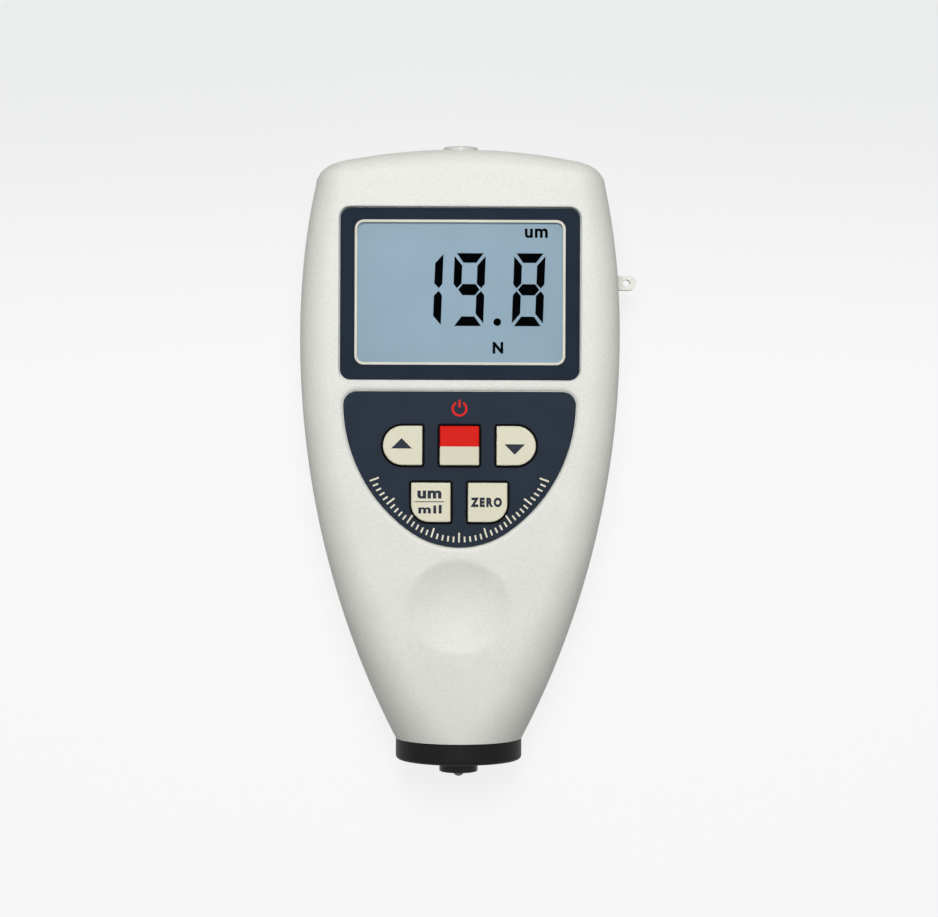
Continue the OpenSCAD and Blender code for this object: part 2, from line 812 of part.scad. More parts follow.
module probe_connector() {
    y = board_y0 + connector_rise;
    color([0.9, 0.88, 0.8])
        box(-connector_half, connector_half, y, y + connector_len, z_board_back - connector_h, z_board_back);
}

// The jack starts behind the display frame and ends outside the top end
jack_half = 3.2;
jack_h = 6;
jack_z = z_board + jack_h / 2;
jack_gap = 0.6;
jack_back = 1;
jack_barrel_d = 5.6;
jack_face = y_top + jack_proud;
jack_rear = window_y + frame_half_h + jack_gap;
jack_step = 2;
jack_front = y_top - wall - jack_step;
jack_depth = jack_face - jack_rear - jack_back;

module jack_bar(d, y0, y1) {
    translate([0, y0, jack_z])
        rotate([-90, 0, 0])
            cylinder(d = d, h = y1 - y0);
}

module data_jack() {
    color([0.08, 0.08, 0.09])
        difference() {
            union() {
                box(-jack_half, jack_half, jack_rear, jack_front, z_board, z_board + jack_h);
                jack_bar(jack_barrel_d, jack_rear + 2 * jack_back, jack_face);
                jack_bar(jack_nose_d, jack_front, jack_face);
            }
            jack_bar(jack_d, jack_face - jack_depth, jack_face + cut);
        }
}

// Turned piece on the probe's axis, each step from one place along Y to another with its diameter
module turned(steps) {
    for (s = steps)
        y_bar(s[2], s[0], s[1]);
}

bead_h = 1.3;
bead_d = lip_d + 2 * bead_h;
bead_t = 1.4;
guide_d = 13;
web_t = 0.5;

module probe_collar() {
    bead_y = y_nose + lip_t + lip_gap / 2;
    color([0.11, 0.11, 0.12])
        difference() {
            turned([
                [collar_face, y_nose, nose_d],
                [collar_face + web_t, bead_y + lip_gap / 2, lip_d - 2 * lip_gap],
                [bead_y, bead_y + bead_t, bead_d],
                [y_nose, collar_rear, guide_d]]);
            y_bar(sleeve_d + 2 * slide_gap, collar_face - cut, collar_rear + cut);
        }
}

shoulder_w = 1.4;
tip_play = 0.05;
face_t = 1;

module probe_sleeve() {
    color([0.16, 0.16, 0.17])
        difference() {
            turned([
                [sleeve_face, shoulder_y + sink, sleeve_d],
                [shoulder_y, spring_y, sleeve_d + 2 * shoulder_w]]);
            y_bar(sleeve_d - 2 * sleeve_wall, sleeve_face + face_t, spring_y + cut);
            y_bar(tip_d + 2 * tip_play, sleeve_face - cut, sleeve_face + face_t + cut);
        }
}

core_gap = 0.3;
core_len = plug_y - core_gap - tip_face;

module probe_core() {
    color([0.75, 0.76, 0.78])
        translate([0, tip_face, z_mid])
            rotate([-90, 0, 0])
                rotate_extrude()
                    intersection() {
                        translate([0, tip_d / 2])
                            union() {
                                circle(d = tip_d);
                                square([tip_d / 2, core_len - tip_d / 2]);
                            }
                        square([tip_d, core_len]);
                    }
}

bobbin_gap = 0.1;
flange_t = 0.6;
tube_t = 0.4;
bobbin_d = sleeve_d - 2 * sleeve_wall - 2 * bobbin_gap;
bobbin_y0 = sleeve_face + face_t + bobbin_gap;
bobbin_end_gap = 0.5;
bobbin_y1 = plug_y - bobbin_end_gap;
tube_d = tip_d + 2 * tip_play + 2 * tube_t;

module probe_bobbin() {
    color([0.9, 0.88, 0.8])
        difference() {
            turned([
                [bobbin_y0, bobbin_y0 + flange_t, bobbin_d],
                [bobbin_y0, bobbin_y1, tube_d],
                [bobbin_y1 - flange_t, bobbin_y1, bobbin_d]]);
            y_bar(tip_d + 2 * tip_play, bobbin_y0 - cut, bobbin_y1 + cut);
        }
}

module probe_coil() {
    flange = flange_t + tip_play;
    color([0.72, 0.4, 0.2])
        difference() {
            y_bar(bobbin_d - 3 * bobbin_gap, bobbin_y0 + flange, bobbin_y1 - flange);
            y_bar(tube_d + bobbin_gap, bobbin_y0, bobbin_y1);
        }
}

stem_bore_d = 1.2;
plug_play = 0.02;

module probe_stem() {
    color([0.2, 0.2, 0.21])
        difference() {
            turned([
                [plug_y, spring_y, sleeve_d - 2 * sleeve_wall - 2 * plug_play],
                [spring_y - sink, stem_end, stem_d]]);
            y_bar(stem_bore_d, plug_y - cut, stem_end + cut);
        }
}

module spring_seat() {
    color([0.8, 0.8, 0.78])
        difference() {
            box(-seat_half, seat_half, seat_y, seat_y + seat_t, z_mid - seat_half, z_mid + seat_half);
            y_bar(stem_d + 2 * slide_gap, seat_y - cut, seat_y + seat_t + cut);
        }
}

// Wire along a path of points, each of its sections turned by a direction close to the case's length
level = [0.02, 1, 0.013];

module wire(path, d, sides) {
    n = len(path);
    dirs = [for (i = [0 : n - 1]) path[min(i + 1, n - 1)] - path[max(i - 1, 0)]];
    points = flatten([for (i = [0 : n - 1])
        let (t = dirs[i] / norm(dirs[i]), u0 = cross(t, level), u = u0 / norm(u0), v = cross(t, u))
        [for (k = [0 : sides - 1]) let (a = 360 * k / sides)
            path[i] + d / 2 * (cos(a) * u + sin(a) * v)]]);
    walls = flatten([for (i = [0 : n - 2])
        [for (k = [0 : sides - 1]) let (q = (k + 1) % sides)
            [i * sides + k, (i + 1) * sides + k, (i + 1) * sides + q, i * sides + q]]]);
    polyhedron(points, concat(walls, [
        [for (k = [0 : sides - 1]) k],
        [for (k = [sides - 1 : -1 : 0]) (n - 1) * sides + k]]));
}

// Coil spring along Y at a place, its first and last turns closer together
function coil_path(at, y0, y1, r0, r1, turns, steps) = [
    for (i = [0 : steps * turns])
        let (f = i / (steps * turns), a = 360 * i / steps, g = f - sin(360 * f) / 16)
        [at[0] + (r0 + (r1 - r0) * f) * cos(a), y0 + (y1 - y0) * g, at[1] + (r0 + (r1 - r0) * f) * sin(a)]];

coil_steps = 16;
coil_sides = 8;
coil_gap = 0.45;
end_gap = 0.05;

module probe_spring() {
    r = stem_d / 2 + spring_wire / 2 + coil_gap;
    y0 = spring_y + spring_wire / 2 + end_gap;
    y1 = seat_y - spring_wire / 2 - end_gap;
    color([0.7, 0.71, 0.73])
        wire(coil_path([0, z_mid], y0, y1, r, r, spring_turns, coil_steps), spring_wire, coil_sides);
}

// Lead from the stem up to the connector, with some slack
lead_d = 0.9;
lead_sag = 1.6;
lead_steps = 12;

module probe_lead() {
    y0 = stem_end + lead_d / 3;
    y1 = board_y0 + connector_rise - sink;
    rise = z_board_back - connector_h / 2 - z_mid;
    path = [for (i = [0 : lead_steps])
        let (f = i / lead_steps)
        [lead_sag * sin(180 * f), y0 + (y1 - y0) * f, z_mid + rise * (1 - cos(180 * f)) / 2]];
    color([0.7, 0.15, 0.12])
        wire(path, lead_d, coil_sides);
}

// Cells lie side by side and point up and down by turns
function cell_x(i) = (i - 1.5) * cell_pitch;
function spring_low(i) = i % 2 == 0;
contact_gap = 0.1;
button_h = 0.8;
button_d = 3.8;

module cell(i) {
    low = bay_y0 + contact_t + contact_gap + (spring_low(i) ? cell_spring_len : 0);
    can0 = spring_low(i) ? low : low + button_h;
    can1 = spring_low(i) ? low + cell_len - button_h : low + cell_len;
    color([0.24, 0.26, 0.3])
        translate([cell_x(i), 0, cell_z])
            rotate([-90, 0, 0]) {
                translate([0, 0, can0])
                    cylinder(d = cell_d, h = can1 - can0);
                translate([0, 0, low])
                    cylinder(d = button_d, h = cell_len);
            }
}

cell_wire = 0.5;
wire_gap = 0.03;
cone_r0 = 3.4;
cone_r1 = 2;
cone_turns = 3;
cone_steps = 14;
cone_sides = 6;

module cell_spring(i) {
    y0 = bay_y0 + contact_t;
    y1 = bay_y1 - contact_t;
    half = cell_wire / 2;
    near = spring_low(i) ? y0 + half + wire_gap : y1 - half - wire_gap;
    far = spring_low(i) ? y0 + cell_spring_len - half : y1 - cell_spring_len + half;
    path = coil_path([cell_x(i), cell_z], near, far, cone_r0, cone_r1, cone_turns, cone_steps);
    color([0.72, 0.72, 0.7])
        wire(path, cell_wire, cone_sides);
}

contact_half_w = 0.38 * cell_d;
contact_half_h = 0.4 * cell_d;

module contact(x0, x1, top) {
    y0 = top ? bay_y1 - contact_t : bay_y0;
    box(x0, x1, y0, y0 + contact_t, cell_z - contact_half_h, cell_z + contact_half_h);
}

module bridge_contact(i) {
    color([0.75, 0.74, 0.7])
        contact(cell_x(i) - contact_half_w, cell_x(i + 1) + contact_half_w, spring_low(i));
}

module terminal(i) {
    x = cell_x(i);
    color([0.75, 0.74, 0.7])
        union() {
            contact(x - contact_half_w, x + contact_half_w, false);
            box(x - tail_w / 2, x + tail_w / 2, bay_y0, bay_y0 + contact_t, cell_z, z_board_back);
        }
}

front_case();
rear_case();
battery_door();
case_screws();
display_window();
keypad_overlay();
for (k = keys) key_cap(k);
for (k = keys) key_plunger(k);
for (k = keys) key_switch(k);
main_board();
board_screws();
lcd_glass();
lcd_frame();
lcd_backlight();
zebra_strip(1);  // zebra_upper
zebra_strip(-1);  // zebra_lower
buzzer();
main_chip();
probe_connector();
data_jack();
probe_collar();
probe_sleeve();
probe_core();
probe_bobbin();
probe_coil();
probe_stem();
probe_spring();
spring_seat();
probe_lead();
for (i = [0 : 3]) cell(i);
for (i = [0 : 3]) cell_spring(i);
for (i = [0 : 2]) bridge_contact(i);
terminal(0);  // negative_terminal
terminal(3);  // positive_terminal
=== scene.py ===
import json
import math

import bmesh
import bpy
import numpy as np
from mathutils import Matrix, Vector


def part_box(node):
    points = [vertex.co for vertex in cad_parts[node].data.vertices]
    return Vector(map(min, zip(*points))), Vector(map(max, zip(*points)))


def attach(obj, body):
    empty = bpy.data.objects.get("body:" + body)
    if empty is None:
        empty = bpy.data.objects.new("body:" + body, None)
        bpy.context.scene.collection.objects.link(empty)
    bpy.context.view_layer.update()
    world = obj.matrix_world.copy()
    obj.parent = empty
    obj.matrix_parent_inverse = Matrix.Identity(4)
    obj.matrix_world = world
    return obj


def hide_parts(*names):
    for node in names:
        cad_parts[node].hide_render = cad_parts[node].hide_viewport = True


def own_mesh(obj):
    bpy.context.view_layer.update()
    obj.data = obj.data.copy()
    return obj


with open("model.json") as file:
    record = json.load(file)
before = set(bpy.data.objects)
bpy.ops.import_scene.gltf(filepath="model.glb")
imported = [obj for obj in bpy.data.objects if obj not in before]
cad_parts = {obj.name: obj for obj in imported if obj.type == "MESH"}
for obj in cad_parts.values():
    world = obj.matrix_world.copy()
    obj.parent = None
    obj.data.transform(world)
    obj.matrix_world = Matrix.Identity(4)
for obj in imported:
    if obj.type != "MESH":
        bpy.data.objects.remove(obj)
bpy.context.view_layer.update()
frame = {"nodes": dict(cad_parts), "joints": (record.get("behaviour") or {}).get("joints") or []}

# Front half of the case: one moulding of pale grey ABS with a fine spark-eroded grain. Each side is a single
# long arc from the bowed top end down to the round nose, and the face has seats for the window, the overlay
# and the keys, and a shallow hollow for the thumb. Four screws from the back hold it to the rear half.
MM = 0.001


def box_mm(node):
    """The low and the high corner of a CAD node's box, in millimetres."""
    return [np.array(corner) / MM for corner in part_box(node)]


front_lo, front_hi = box_mm("front_case")
z_mid, z_face = front_lo[2], front_hi[2]
y_nose, y_top = front_lo[1], front_hi[1]
half_max = round(front_hi[0], 2)
half_t = z_face - z_mid
nose_r = box_mm("probe_collar")[1][0]
wall = 2.0
z_inner = z_face - wall
widest_rise = 80.8
y_wide = y_nose + widest_rise
edge_r = 6.0
top_r = 4.0
y_fillet = y_top - top_r
top_bow_r = 117.0
nose_blend = 18.0
nose_flat = 0.5
line_groove = 0.25
side_drop = half_max - nose_r
side_r = (widest_rise ** 2 + side_drop ** 2) / (2 * side_drop)


def half_width(y):
    """Half the case's width: one arc, widest at y_wide, that comes in to the nose's radius at the nose."""
    return half_max - side_r + np.sqrt(side_r ** 2 - (y - y_wide) ** 2)


def case_skin(rows, columns, inset):
    """Points of the front half's surface, set in by inset.

    A row is a place along the case, an angle round the rounded top end, a ceiling on the height, which
    brings the end face down to the parting plane, and an extra inset there.
    A column is a place round half a rounded section: shares of the corner's centre and of its radius across
    and up, a lift off the parting plane and an extra inset there. The section's half width follows the side
    arc, its half thickness falls to the nose's radius with the square of the distance, its corner radius
    grows with the narrowing towards the nose, and the top end bows back with the square of the distance from
    the middle."""
    place, angle, ceiling, end_inset = (np.asarray(r)[:, None] for r in rows)
    centre_x, arc_x, centre_z, arc_z, lift, groove = (np.asarray(c)[None, :] for c in columns)
    near = np.clip(1 - (place - y_nose) / nose_blend, 0, None)
    narrow = np.where(place < y_wide, (half_max - half_width(place)) / side_drop, 0)
    depth = inset + np.maximum(groove, end_inset)
    set_in = depth + (top_r - depth) * (1 - np.cos(angle))
    w = half_width(place) - set_in
    t = half_t - (half_t - nose_r) * near ** 2 - set_in
    r = edge_r + (nose_r - nose_flat - edge_r) * narrow - set_in
    x = centre_x * (w - r) + arc_x * r
    y = place + (top_r - depth) * np.sin(angle) + 0 * x
    z = np.minimum(centre_z * (t - r) + arc_z * r + lift, ceiling)
    bow = np.clip((y - y_wide) / (y_top - y_wide), 0, None) ** 2 / (2 * top_bow_r)
    return np.stack([x, y - bow * x ** 2, z_mid + z], -1)


def grid(points, closed=False):
    """Points by rows and columns as (points, faces): a quad between each four neighbours, with the last
    column joined to the first where the rows are closed loops."""
    rows, columns = points.shape[:2]
    i, j = np.meshgrid(np.arange(rows - 1), np.arange(columns if closed else columns - 1), indexing="ij")
    k = (j + 1) % columns
    corners = [i * columns + j, i * columns + k, (i + 1) * columns + k, (i + 1) * columns + j]
    return points.reshape(-1, 3), np.stack(corners, -1).reshape(-1, 4)


def arc(centre, radius, start, end, steps):
    """Points on a circle from one angle to another, in degrees."""
    a = np.radians(np.linspace(start, end, steps + 1))
    return np.stack([centre[0] + radius * np.cos(a), centre[1] + radius * np.sin(a)], -1)


def corner_rect(centre, size, radii, grow=0.0, steps=8):
    """Loop of a rectangle with four corner radii, set out by grow: top left, top right, lower right and
    lower left. Each corner is a quarter circle about its own centre, and the straight sides run between
    them."""
    turns = [(-1, 1, 90), (1, 1, 0), (1, -1, -90), (-1, -1, 180)]
    corners = []
    for (sx, sy, start), r in zip(turns, radii):
        at = (centre[0] + sx * (size[0] / 2 - r), centre[1] + sy * (size[1] / 2 - r))
        corners.append(arc(at, r + grow, start, start + 90, steps))
    return np.concatenate([corners[k] for k in (2, 1, 0, 3)])


def at_height(loop, z):
    """A flat loop lifted to a height."""
    return np.column_stack([loop, np.full(len(loop), z)])


def stacked(outline, rings):
    """A closed wall through loops of one outline, each by its (distance set out, height)."""
    return grid(np.stack([at_height(outline(grow), z) for grow, z in rings]), True)


flat_slack, weld_gap, thin_gap = 0.003, 0.0005 * MM, 0.0002 * MM


def in_mesh(parts, name, flats=()):
    """One mesh of several (points, faces) in millimetres: neighbours merged, the open edges that lie at each
    height of flats filled as one flat face with holes, and the faces turned outwards."""
    starts = np.cumsum([0] + [len(points) for points, _ in parts])
    points = np.concatenate([points for points, _ in parts]) * MM
    faces = [(np.asarray(f) + start).tolist() for (_, fs), start in zip(parts, starts) for f in fs]
    mesh = bpy.data.meshes.new(name)
    mesh.from_pydata(points.tolist(), [], faces)
    made = bmesh.new()
    made.from_mesh(mesh)
    bmesh.ops.remove_doubles(made, verts=made.verts, dist=weld_gap)
    for height in flats:
        rim = [
            e for e in made.edges
            if e.is_boundary and all(abs(v.co.z / MM - height) < flat_slack for v in e.verts)]
        bmesh.ops.triangle_fill(made, use_beauty=True, edges=rim)
    bmesh.ops.dissolve_degenerate(made, edges=made.edges, dist=thin_gap)
    bmesh.ops.recalc_face_normals(made, faces=made.faces)
    made.to_mesh(mesh)
    made.free()
    return mesh


def merge_points(mesh, slivers=True):
    """Merges the points of a mesh that lie together and, with slivers, takes out faces with no area."""
    made = bmesh.new()
    made.from_mesh(mesh)
    bmesh.ops.remove_doubles(made, verts=made.verts, dist=weld_gap)
    if slivers:
        bmesh.ops.dissolve_degenerate(made, edges=made.edges, dist=thin_gap)
    made.to_mesh(mesh)
    made.free()


def placed(mesh, finish, body, nodes=(), sharp=35):
    """A finished piece: smooth but for edges sharper than an angle, riding on its body and standing for
    nodes."""
    obj = bpy.data.objects.new(mesh.name, mesh)
    bpy.context.scene.collection.objects.link(obj)
    mesh.polygons.foreach_set("use_smooth", np.ones(len(mesh.polygons), bool))
    mesh.set_sharp_from_angle(angle=math.radians(sharp))
    weighted = obj.modifiers.new("even_shading", "WEIGHTED_NORMAL")
    weighted.keep_sharp = True
    mesh.materials.clear()
    mesh.materials.append(finish)
    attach(obj, body)
    if nodes:
        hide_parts(*nodes)
    return obj


class Value:
    """One socket of a finish's or the surround's node tree. Arithmetic on it adds Math nodes."""

    def __init__(self, tree, socket=None):
        self.tree, self.socket = tree, socket

    def node(self, kind, settings, sockets, output=0):
        """Adds any node: its settings first, then each socket's number, or a link where it is a Value."""
        made = self.tree.nodes.new("ShaderNode" + kind)
        for name, setting in settings.items():
            setattr(made, name, setting)
        for name, value in sockets.items():
            if isinstance(value, Value):
                self.tree.links.new(value.socket, made.inputs[name])
            else:
                made.inputs[name].default_value = value
        return Value(self.tree, made.outputs[output] if made.outputs else None)

    def maths(self, operation, *values):
        """A Math node on these values."""
        return self.node("Math", {"operation": operation}, dict(enumerate(values)))

    def __add__(self, other):
        return self.maths("ADD", self, other)

    def __sub__(self, other):
        return self.maths("SUBTRACT", self, other)

    def __rsub__(self, other):
        return self.maths("SUBTRACT", other, self)

    def __mul__(self, other):
        return self.maths("MULTIPLY", self, other)

    def __gt__(self, other):
        return self.maths("GREATER_THAN", self, other)

    def __lt__(self, other):
        return self.maths("LESS_THAN", self, other)

    __radd__, __rmul__ = __add__, __mul__

    def ramp(self, low, high):
        """0 below low, 1 above high and a smooth step between."""
        settings = {"interpolation_type": "SMOOTHSTEP"}
        return self.node("MapRange", settings, {"Value": self, "From Min": low, "From Max": high})

    def mix(self, first, second):
        """A colour between two, by this value."""
        return self.node("Mix", {"data_type": "RGBA"}, {0: self, 6: first, 7: second}, 2)

    def part(self, axis):
        """One part of a place."""
        return self.node("SeparateXYZ", {}, {0: self}, axis)

    def noise(self, grain, detail=2.0):
        """Noise at this place, with grains about so many millimetres across."""
        return self.node("TexNoise", {}, {"Vector": self, "Scale": 1 / grain, "Detail": detail}, "Fac")

    def bump(self, height_mm, strength=1.0):
        """A surface direction from this value as a height: 1 lies so many millimetres above 0."""
        sockets = {"Height": self, "Distance": height_mm * MM, "Strength": strength}
        return self.node("Bump", {}, sockets, "Normal")

    def seen(self):
        """1 for the camera's rays and for what shows in gloss and in glass, 0 for all other light."""
        kinds = ("Camera", "Glossy", "Transmission")
        camera_ray, glossy_ray, glass_ray = (
            self.node("LightPath", {}, {}, f"Is {kind} Ray") for kind in kinds)
        return self.maths("MAXIMUM", self.maths("MAXIMUM", camera_ray, glossy_ray), glass_ray)


def srgb(*levels):
    """A colour from 0-255 screen levels, as the linear colour that a shader takes."""
    c = np.array(levels) / 255
    return (*np.where(c <= 0.04045, c / 12.92, ((c + 0.055) / 1.055) ** 2.4).tolist(), 1.0)


def shaded(colour, factor):
    """A lighter or darker tone of a colour."""
    return (*(min(1.0, c * factor) for c in colour[:3]), 1.0)


def new_finish(name):
    """An empty finish and the place on the piece, in millimetres."""
    material = bpy.data.materials.new(name)
    material.use_nodes = True
    material.node_tree.nodes.clear()
    blank = Value(material.node_tree)
    metres = blank.node("TexCoord", {}, {}, "Object")
    return material, metres.node("VectorMath", {"operation": "SCALE"}, {0: metres, "Scale": 1 / MM})


def close_finish(place, **sockets):
    """Ends a finish in a principled shader with these sockets."""
    names = {name.replace("_", " "): value for name, value in sockets.items()}
    shader = place.node("BsdfPrincipled", {}, names, "BSDF")
    place.node("OutputMaterial", {}, {"Surface": shader})


noise_span = (0.3, 0.7)
cloud_size, fine_share = 9.0, 0.75


def moulded(name, colour, grain=0.3, depth=0.012, rough=(0.46, 0.62), tone=0.05, gloss=0.3):
    """Moulded plastic: fine grain in relief and gloss, with a faint cloudiness and specks of tone in the
    colour."""
    material, place = new_finish(name)
    fine = place.noise(grain, 3)
    cloud = place.noise(cloud_size)
    speck = (fine * fine_share + cloud * (1 - fine_share)).ramp(*noise_span)
    close_finish(
        place, Base_Color=speck.mix(shaded(colour, 1 - tone), shaded(colour, 1 + tone)),
        Roughness=rough[0] + (rough[1] - rough[0]) * fine, Normal=fine.bump(depth, 0.6),
        Specular_IOR_Level=gloss)
    return material


case_plastic = moulded("case_plastic", srgb(229, 229, 222), grain=0.34, depth=0.03, tone=0.055, gloss=0.5)

corner_steps, flat_steps = 14, 12
quarter = np.linspace(0, np.pi / 2, corner_steps + 1)
across = np.linspace(1, -1, flat_steps + 1)[1:-1]
flat_one, turn_one = np.ones(flat_steps - 1), np.ones(corner_steps + 1)
right_edge = np.concatenate([
    np.array([[1, 1, 0, 0, 0, line_groove], [1, 1, 0, 0, line_groove, 0]]).T,
    np.stack([turn_one, np.cos(quarter), turn_one, np.sin(quarter), 0 * quarter, 0 * quarter])], 1)
left_edge = right_edge[:, ::-1] * np.array([-1, -1, 1, 1, 1, 1])[:, None]
face_columns = np.stack([across, 0 * across, flat_one, flat_one, 0 * across, 0 * across])
all_columns = np.concatenate([right_edge, face_columns, left_edge], 1)

# the flat of the face starts a little before the nose's blend ends, so that the hollow's rim lies inside it
nose_steps, body_steps, end_steps = 14, 48, 10
flat_early = 0.5
y_flat = y_nose + nose_blend - flat_early
nose_rows = np.linspace(y_nose, y_flat, nose_steps + 1)
body_rows = np.linspace(y_flat, y_fillet, body_steps + 1)
end_angle = np.append(np.linspace(0, np.pi / 2, end_steps + 1), [np.pi / 2] * 2)
end_ceiling = np.append(np.full(end_steps + 1, half_t), [line_groove, 0])
bands = {
    "nose": (nose_rows, 0 * nose_rows, half_t + 0 * nose_rows, 0 * nose_rows),
    "body": (body_rows, 0 * body_rows, half_t + 0 * body_rows, 0 * body_rows),
    "end": (y_fillet + 0 * end_angle, end_angle, end_ceiling, line_groove * (end_ceiling == 0))}


def shell_wall(inset):
    """The grids of the case surface at one depth: whole rows at the nose and the top end, and only the
    rounded edges between, where the flat face is filled in later."""
    return [
        case_skin(bands["nose"], all_columns, inset),
        case_skin(bands["body"], right_edge, inset),
        case_skin(bands["body"], left_edge, inset),
        case_skin(bands["end"], all_columns, inset)]


def parting_rim(outer, inner, column):
    """The strip at the parting plane between the outer and the inner wall, along one side."""
    side = 1 if column == 0 else 2
    return np.stack([
        np.concatenate([w[0][:, column], w[side][1:, column], w[3][1:, column]]) for w in (outer, inner)], 1)


skin, lining = shell_wall(0.0), shell_wall(wall)
shell_parts = [grid(g) for g in skin + lining]
shell_parts += [grid(parting_rim(skin, lining, column)) for column in (0, -1)]
shell_parts += [grid(np.stack([skin[band][row], lining[band][row]])) for band, row in ((0, 0), (3, -1))]

# seat of the window: a small rounded lip, a wall, a ledge and the opening for the view
set_gap = 0.12
window_lo, window_hi = box_mm("display_window")
window_at = (window_lo + window_hi)[:2] / 2
window_size = (window_hi - window_lo)[:2]
window_corner = [2.1] * 4
window_lip = 0.35
view_size = np.array([41.7, 28.7])
view_gap, view_corner = 0.3, [1.0] * 4
lip_steps = 6
lip_turn = np.linspace(0, np.pi / 2, lip_steps + 1)


def window_outline(grow):
    """Loop of the window, set out by grow."""
    return corner_rect(window_at, window_size, window_corner, grow)


def soft_lip(lip, drop):
    """Rings (distance set out, height) of a lip from the face down into a seat: a quarter ellipse."""
    return [(set_gap + lip * (1 - math.sin(a)), z_face - drop * (1 - math.cos(a))) for a in lip_turn]


window_rings = soft_lip(window_lip, window_lip) + [(set_gap, window_lo[2])]
opening = corner_rect(window_at, view_size + 2 * view_gap, view_corner)
window_seat = [at_height(window_outline(grow), z) for grow, z in window_rings]
window_seat += [at_height(opening, z) for z in (window_lo[2], z_inner)]
shell_parts.append(grid(np.stack(window_seat), True))

# seat of the overlay: a broad soft lip down to a flat floor with a hole for each key
overlay_lo, overlay_hi = box_mm("keypad_overlay")
overlay_floor, film_top = overlay_lo[2], overlay_hi[2]
overlay_half = round(overlay_hi[0], 1)
overlay_top, overlay_foot = round(overlay_hi[1], 1), round(overlay_lo[1], 1)
overlay_corner, overlay_lip = 2.7, 1.1
foot_r, bulge_drop = 16.8, 2.1
foot_y, bulge_y = overlay_foot + foot_r, overlay_top - bulge_drop
foot_steps, side_steps, top_steps = 12, 20, 10
overlay_side_r = (overlay_half ** 2 + (bulge_y - foot_y) ** 2 - foot_r ** 2) / (2 * (overlay_half - foot_r))


def overlay_outline(grow):
    """Loop of the overlay, set out by grow: an arc round the foot, a wider arc up each side that leaves the
    foot's arc in the same direction, a small arc at each top corner and a straight top."""
    side_at = (overlay_half - overlay_side_r, bulge_y)
    join = math.degrees(math.atan2(foot_y - bulge_y, -side_at[0]))
    end = math.degrees(math.asin((overlay_top - overlay_corner - bulge_y) / overlay_side_r))
    corner_at = (overlay_half - overlay_corner, overlay_top - overlay_corner)
    right = np.concatenate([
        arc((0, foot_y), foot_r + grow, -90, join, foot_steps),
        arc(side_at, overlay_side_r + grow, join, end, side_steps)[1:],
        arc(corner_at, overlay_corner + grow, 0, 90, top_steps)[1:]])
    return np.concatenate([right, right[:0:-1] * [-1, 1]])


key_side = 7.75
key_gap, film_gap = 0.3, 0.48
key_corner, key_half, key_bend = 0.25, key_side / 2, 3.5
key_radii = {
    "up": [key_half, key_corner, key_corner, key_half],
    "power": [key_corner] * 4,
    "down": [key_corner, key_half, key_half, key_corner],
    "unit": [key_corner, key_corner, key_corner, key_bend],
    "zero": [key_corner, key_corner, key_bend, key_corner]}
key_boxes = {key: np.array(box_mm(key + "_key")) for key in key_radii}
key_at = {key: box.mean(0)[:2] for key, box in key_boxes.items()}


def key_outline(key):
    """The outline of one key: its loop, set out by grow."""
    return lambda grow: corner_rect(key_at[key], (key_side, key_side), key_radii[key], grow)


shell_parts.append(stacked(overlay_outline, soft_lip(overlay_lip, z_face - overlay_floor)))
for key in key_radii:
    shell_parts.append(stacked(key_outline(key), [(key_gap, overlay_floor), (key_gap, z_inner)]))

# thumb hollow: a shallow oval bowl whose rim runs softly into the face
hollow_at = (0.0, -12.2)
hollow_half = (10.5, 9.4)
hollow_depth = 1.8
hollow_rings, hollow_spokes = 22, 96
bowl_end, rim_end = 0.92, 1.03
rho = np.linspace(0, rim_end, hollow_rings)[:, None]
turn = np.linspace(0, 2 * np.pi, hollow_spokes, endpoint=False)[None, :]
inside = 1 - rho ** 2 / (bowl_end * rim_end)
at_rim = (rim_end - rho) ** 2 / (rim_end * (rim_end - bowl_end))
bowl = np.where(rho < bowl_end, inside, at_rim)
hollow = np.stack([
    hollow_at[0] + hollow_half[0] * rho * np.cos(turn),
    hollow_at[1] + hollow_half[1] * rho * np.sin(turn),
    z_face - hollow_depth * bowl + 0 * turn], -1)
shell_parts.append(grid(hollow, True))
shell_mesh = in_mesh(shell_parts, "front_shell", (z_face, overlay_floor, z_inner))


def turned(profile, axis_z, steps=72):
    """A turned piece about a line along the case: a closed profile of (radius, place along the case),
    carried round the line. Where the profile touches the line, its points meet in one."""
    radius, y = np.array(profile).T[:, :, None]
    a = np.linspace(0, 2 * np.pi, steps, endpoint=False)[None, :]
    return grid(np.stack([radius * np.cos(a), y + 0 * a, axis_z + radius * np.sin(a)], -1), True)


# hole in the top end for the data jack, cut out of the closed shell because it crosses the rounded end
jack_z, jack_nose_r, jack_slack = 21.0, 3.4, 0.15
hole_r, cut_over = jack_nose_r + jack_slack, 2
cut_from, cut_to = y_top - wall - cut_over, y_top + cut_over
cut_profile = [(0, cut_from), (hole_r, cut_from), (hole_r, cut_to), (0, cut_to)]
cutter = bpy.data.objects.new("jack_cutter", in_mesh([turned(cut_profile, jack_z)], "jack_cutter"))
uncut = bpy.data.objects.new("uncut_shell", shell_mesh)
for obj in (cutter, uncut):
    bpy.context.scene.collection.objects.link(obj)
cut = uncut.modifiers.new("jack_hole", "BOOLEAN")
cut.object, cut.operation, cut.solver = cutter, "DIFFERENCE", "EXACT"
shell_mesh = bpy.data.meshes.new_from_object(uncut.evaluated_get(bpy.context.evaluated_depsgraph_get()))
shell_mesh.name = "front_shell"
merge_points(shell_mesh)
bpy.data.objects.remove(uncut)
bpy.data.objects.remove(cutter)
placed(shell_mesh, case_plastic, "case", ["front_case"], sharp=32)

